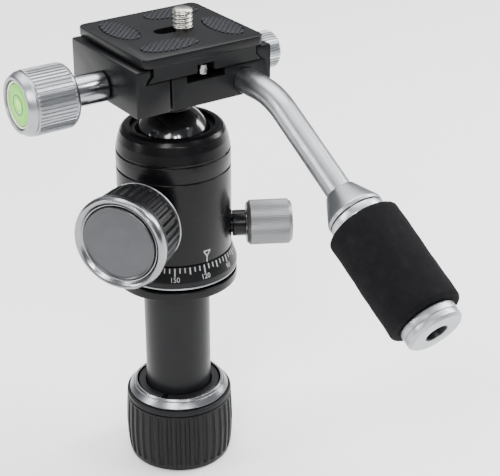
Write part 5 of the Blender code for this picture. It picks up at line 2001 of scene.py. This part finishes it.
@dataclass
class Studio:
    """A pale floor, soft lights and the camera."""

    shop: Workshop
    camera_at: tuple[float, float, float] = (-0.21585, -0.35751, 0.29144)
    looking: tuple[float, float, float] = (0.5038, 0.7373, -0.4501)
    lens: float = 102.16
    shift: float = 0.0065
    floor_half: float = 9.0
    sky: float = 0.30
    sky_in_view: float = 0.9
    overhead_strength: float = 2.2
    overhead_angle: float = math.radians(80.0)
    lights: tuple[Softbox, ...] = (
        Softbox("key_light", (-0.85, -0.75, 1.00), (0.35, 0.6), 14.0),
        Softbox("top_light", (0.10, 0.30, 1.15), (1.1, 0.8), 16.0),
        Softbox("right_light", (0.95, -0.10, 0.62), (0.25, 0.8), 12.0),
        Softbox("edge_light", (0.55, -0.50, 0.90), (0.45, 0.20), 7.0),
        Softbox("left_light", (-1.05, 0.30, 0.60), (0.20, 0.7), 8.0),
        Softbox("spark_left", (-0.40, -0.98, 0.70), (0.09, 0.11), 3.0),
        Softbox("spark_right", (-0.20, -1.05, 0.72), (0.09, 0.11), 3.0),
    )

    def floor(self) -> None:
        """The floor that the object stands on."""
        bm = bmesh.new()
        bmesh.ops.create_grid(bm, x_segments=4, y_segments=4, size=self.floor_half)
        mesh = bpy.data.meshes.new("floor")
        bm.to_mesh(mesh)
        bm.free()
        floor = bpy.data.objects.new("floor", mesh)
        bpy.context.scene.collection.objects.link(floor)
        mesh.materials.append(self.shop.material(PALE_FLOOR, UPRIGHT))

    def world(self) -> None:
        """An even pale sky, which lights the object less than it shows behind the floor."""
        world = bpy.data.worlds.new("studio")
        bpy.context.scene.world = world
        world.use_nodes = True
        tree = world.node_tree
        background = tree.nodes["Background"]
        background.inputs["Color"].default_value = (0.94, 0.96, 1.0, 1.0)
        seen = tree.nodes.new("ShaderNodeLightPath")
        strength = tree.nodes.new("ShaderNodeMapRange")
        strength.inputs["To Min"].default_value = self.sky
        strength.inputs["To Max"].default_value = self.sky_in_view
        tree.links.new(seen.outputs["Is Camera Ray"], strength.inputs["Value"])
        tree.links.new(strength.outputs["Result"], background.inputs["Strength"])

    def overhead(self) -> None:
        """A wide soft light from above, which lights the floor evenly as far as it reaches."""
        light = bpy.data.lights.new("overhead", "SUN")
        light.energy = self.overhead_strength
        light.angle = self.overhead_angle
        holder = bpy.data.objects.new("overhead", light)
        holder.rotation_euler = (math.radians(-20.0), math.radians(8.0), 0.0)
        bpy.context.scene.collection.objects.link(holder)

    def camera(self) -> None:
        """The camera."""
        data = bpy.data.cameras.new("camera")
        data.lens = self.lens
        data.sensor_width = 36.0
        data.shift_x = self.shift
        data.clip_start = 0.01
        data.clip_end = 50.0
        camera = bpy.data.objects.new("camera", data)
        camera.location = self.camera_at
        camera.rotation_euler = Vector(self.looking).to_track_quat("-Z", "Y").to_euler()
        bpy.context.scene.collection.objects.link(camera)
        bpy.context.scene.camera = camera

    def build(self) -> None:
        """Builds the studio."""
        self.floor()
        self.world()
        self.overhead()
        self.camera()
        for light in self.lights:
            light.build()


def main() -> None:
    """Builds the studio and each sub-assembly, from the foot up."""
    logging.basicConfig(level=logging.INFO, format="%(name)s: %(message)s")
    for leftover in [o for o in bpy.data.objects if o.type in ("LIGHT", "CAMERA")]:
        bpy.data.objects.remove(leftover)
    cube = bpy.data.objects.get("Cube")
    if cube is not None and "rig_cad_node" not in cube:
        bpy.data.objects.remove(cube)
    shop = Workshop()
    Studio(shop).build()
    for assembly in (
        FootCollar(shop),
        Column(shop),
        PanBase(shop),
        Housing(shop),
        MainLock(shop),
        PanLock(shop),
        BallAndNeck(shop),
        Clamp(shop),
        ClampKnob(shop),
        TopPlate(shop),
        PanHandle(shop),
        SideLock(shop),
    ):
        assembly.build()
        LOG.info("%s is built", type(assembly).__name__)
    LOG.info("%d pieces in all", len(shop.made))


if __name__ == "__main__":
    main()
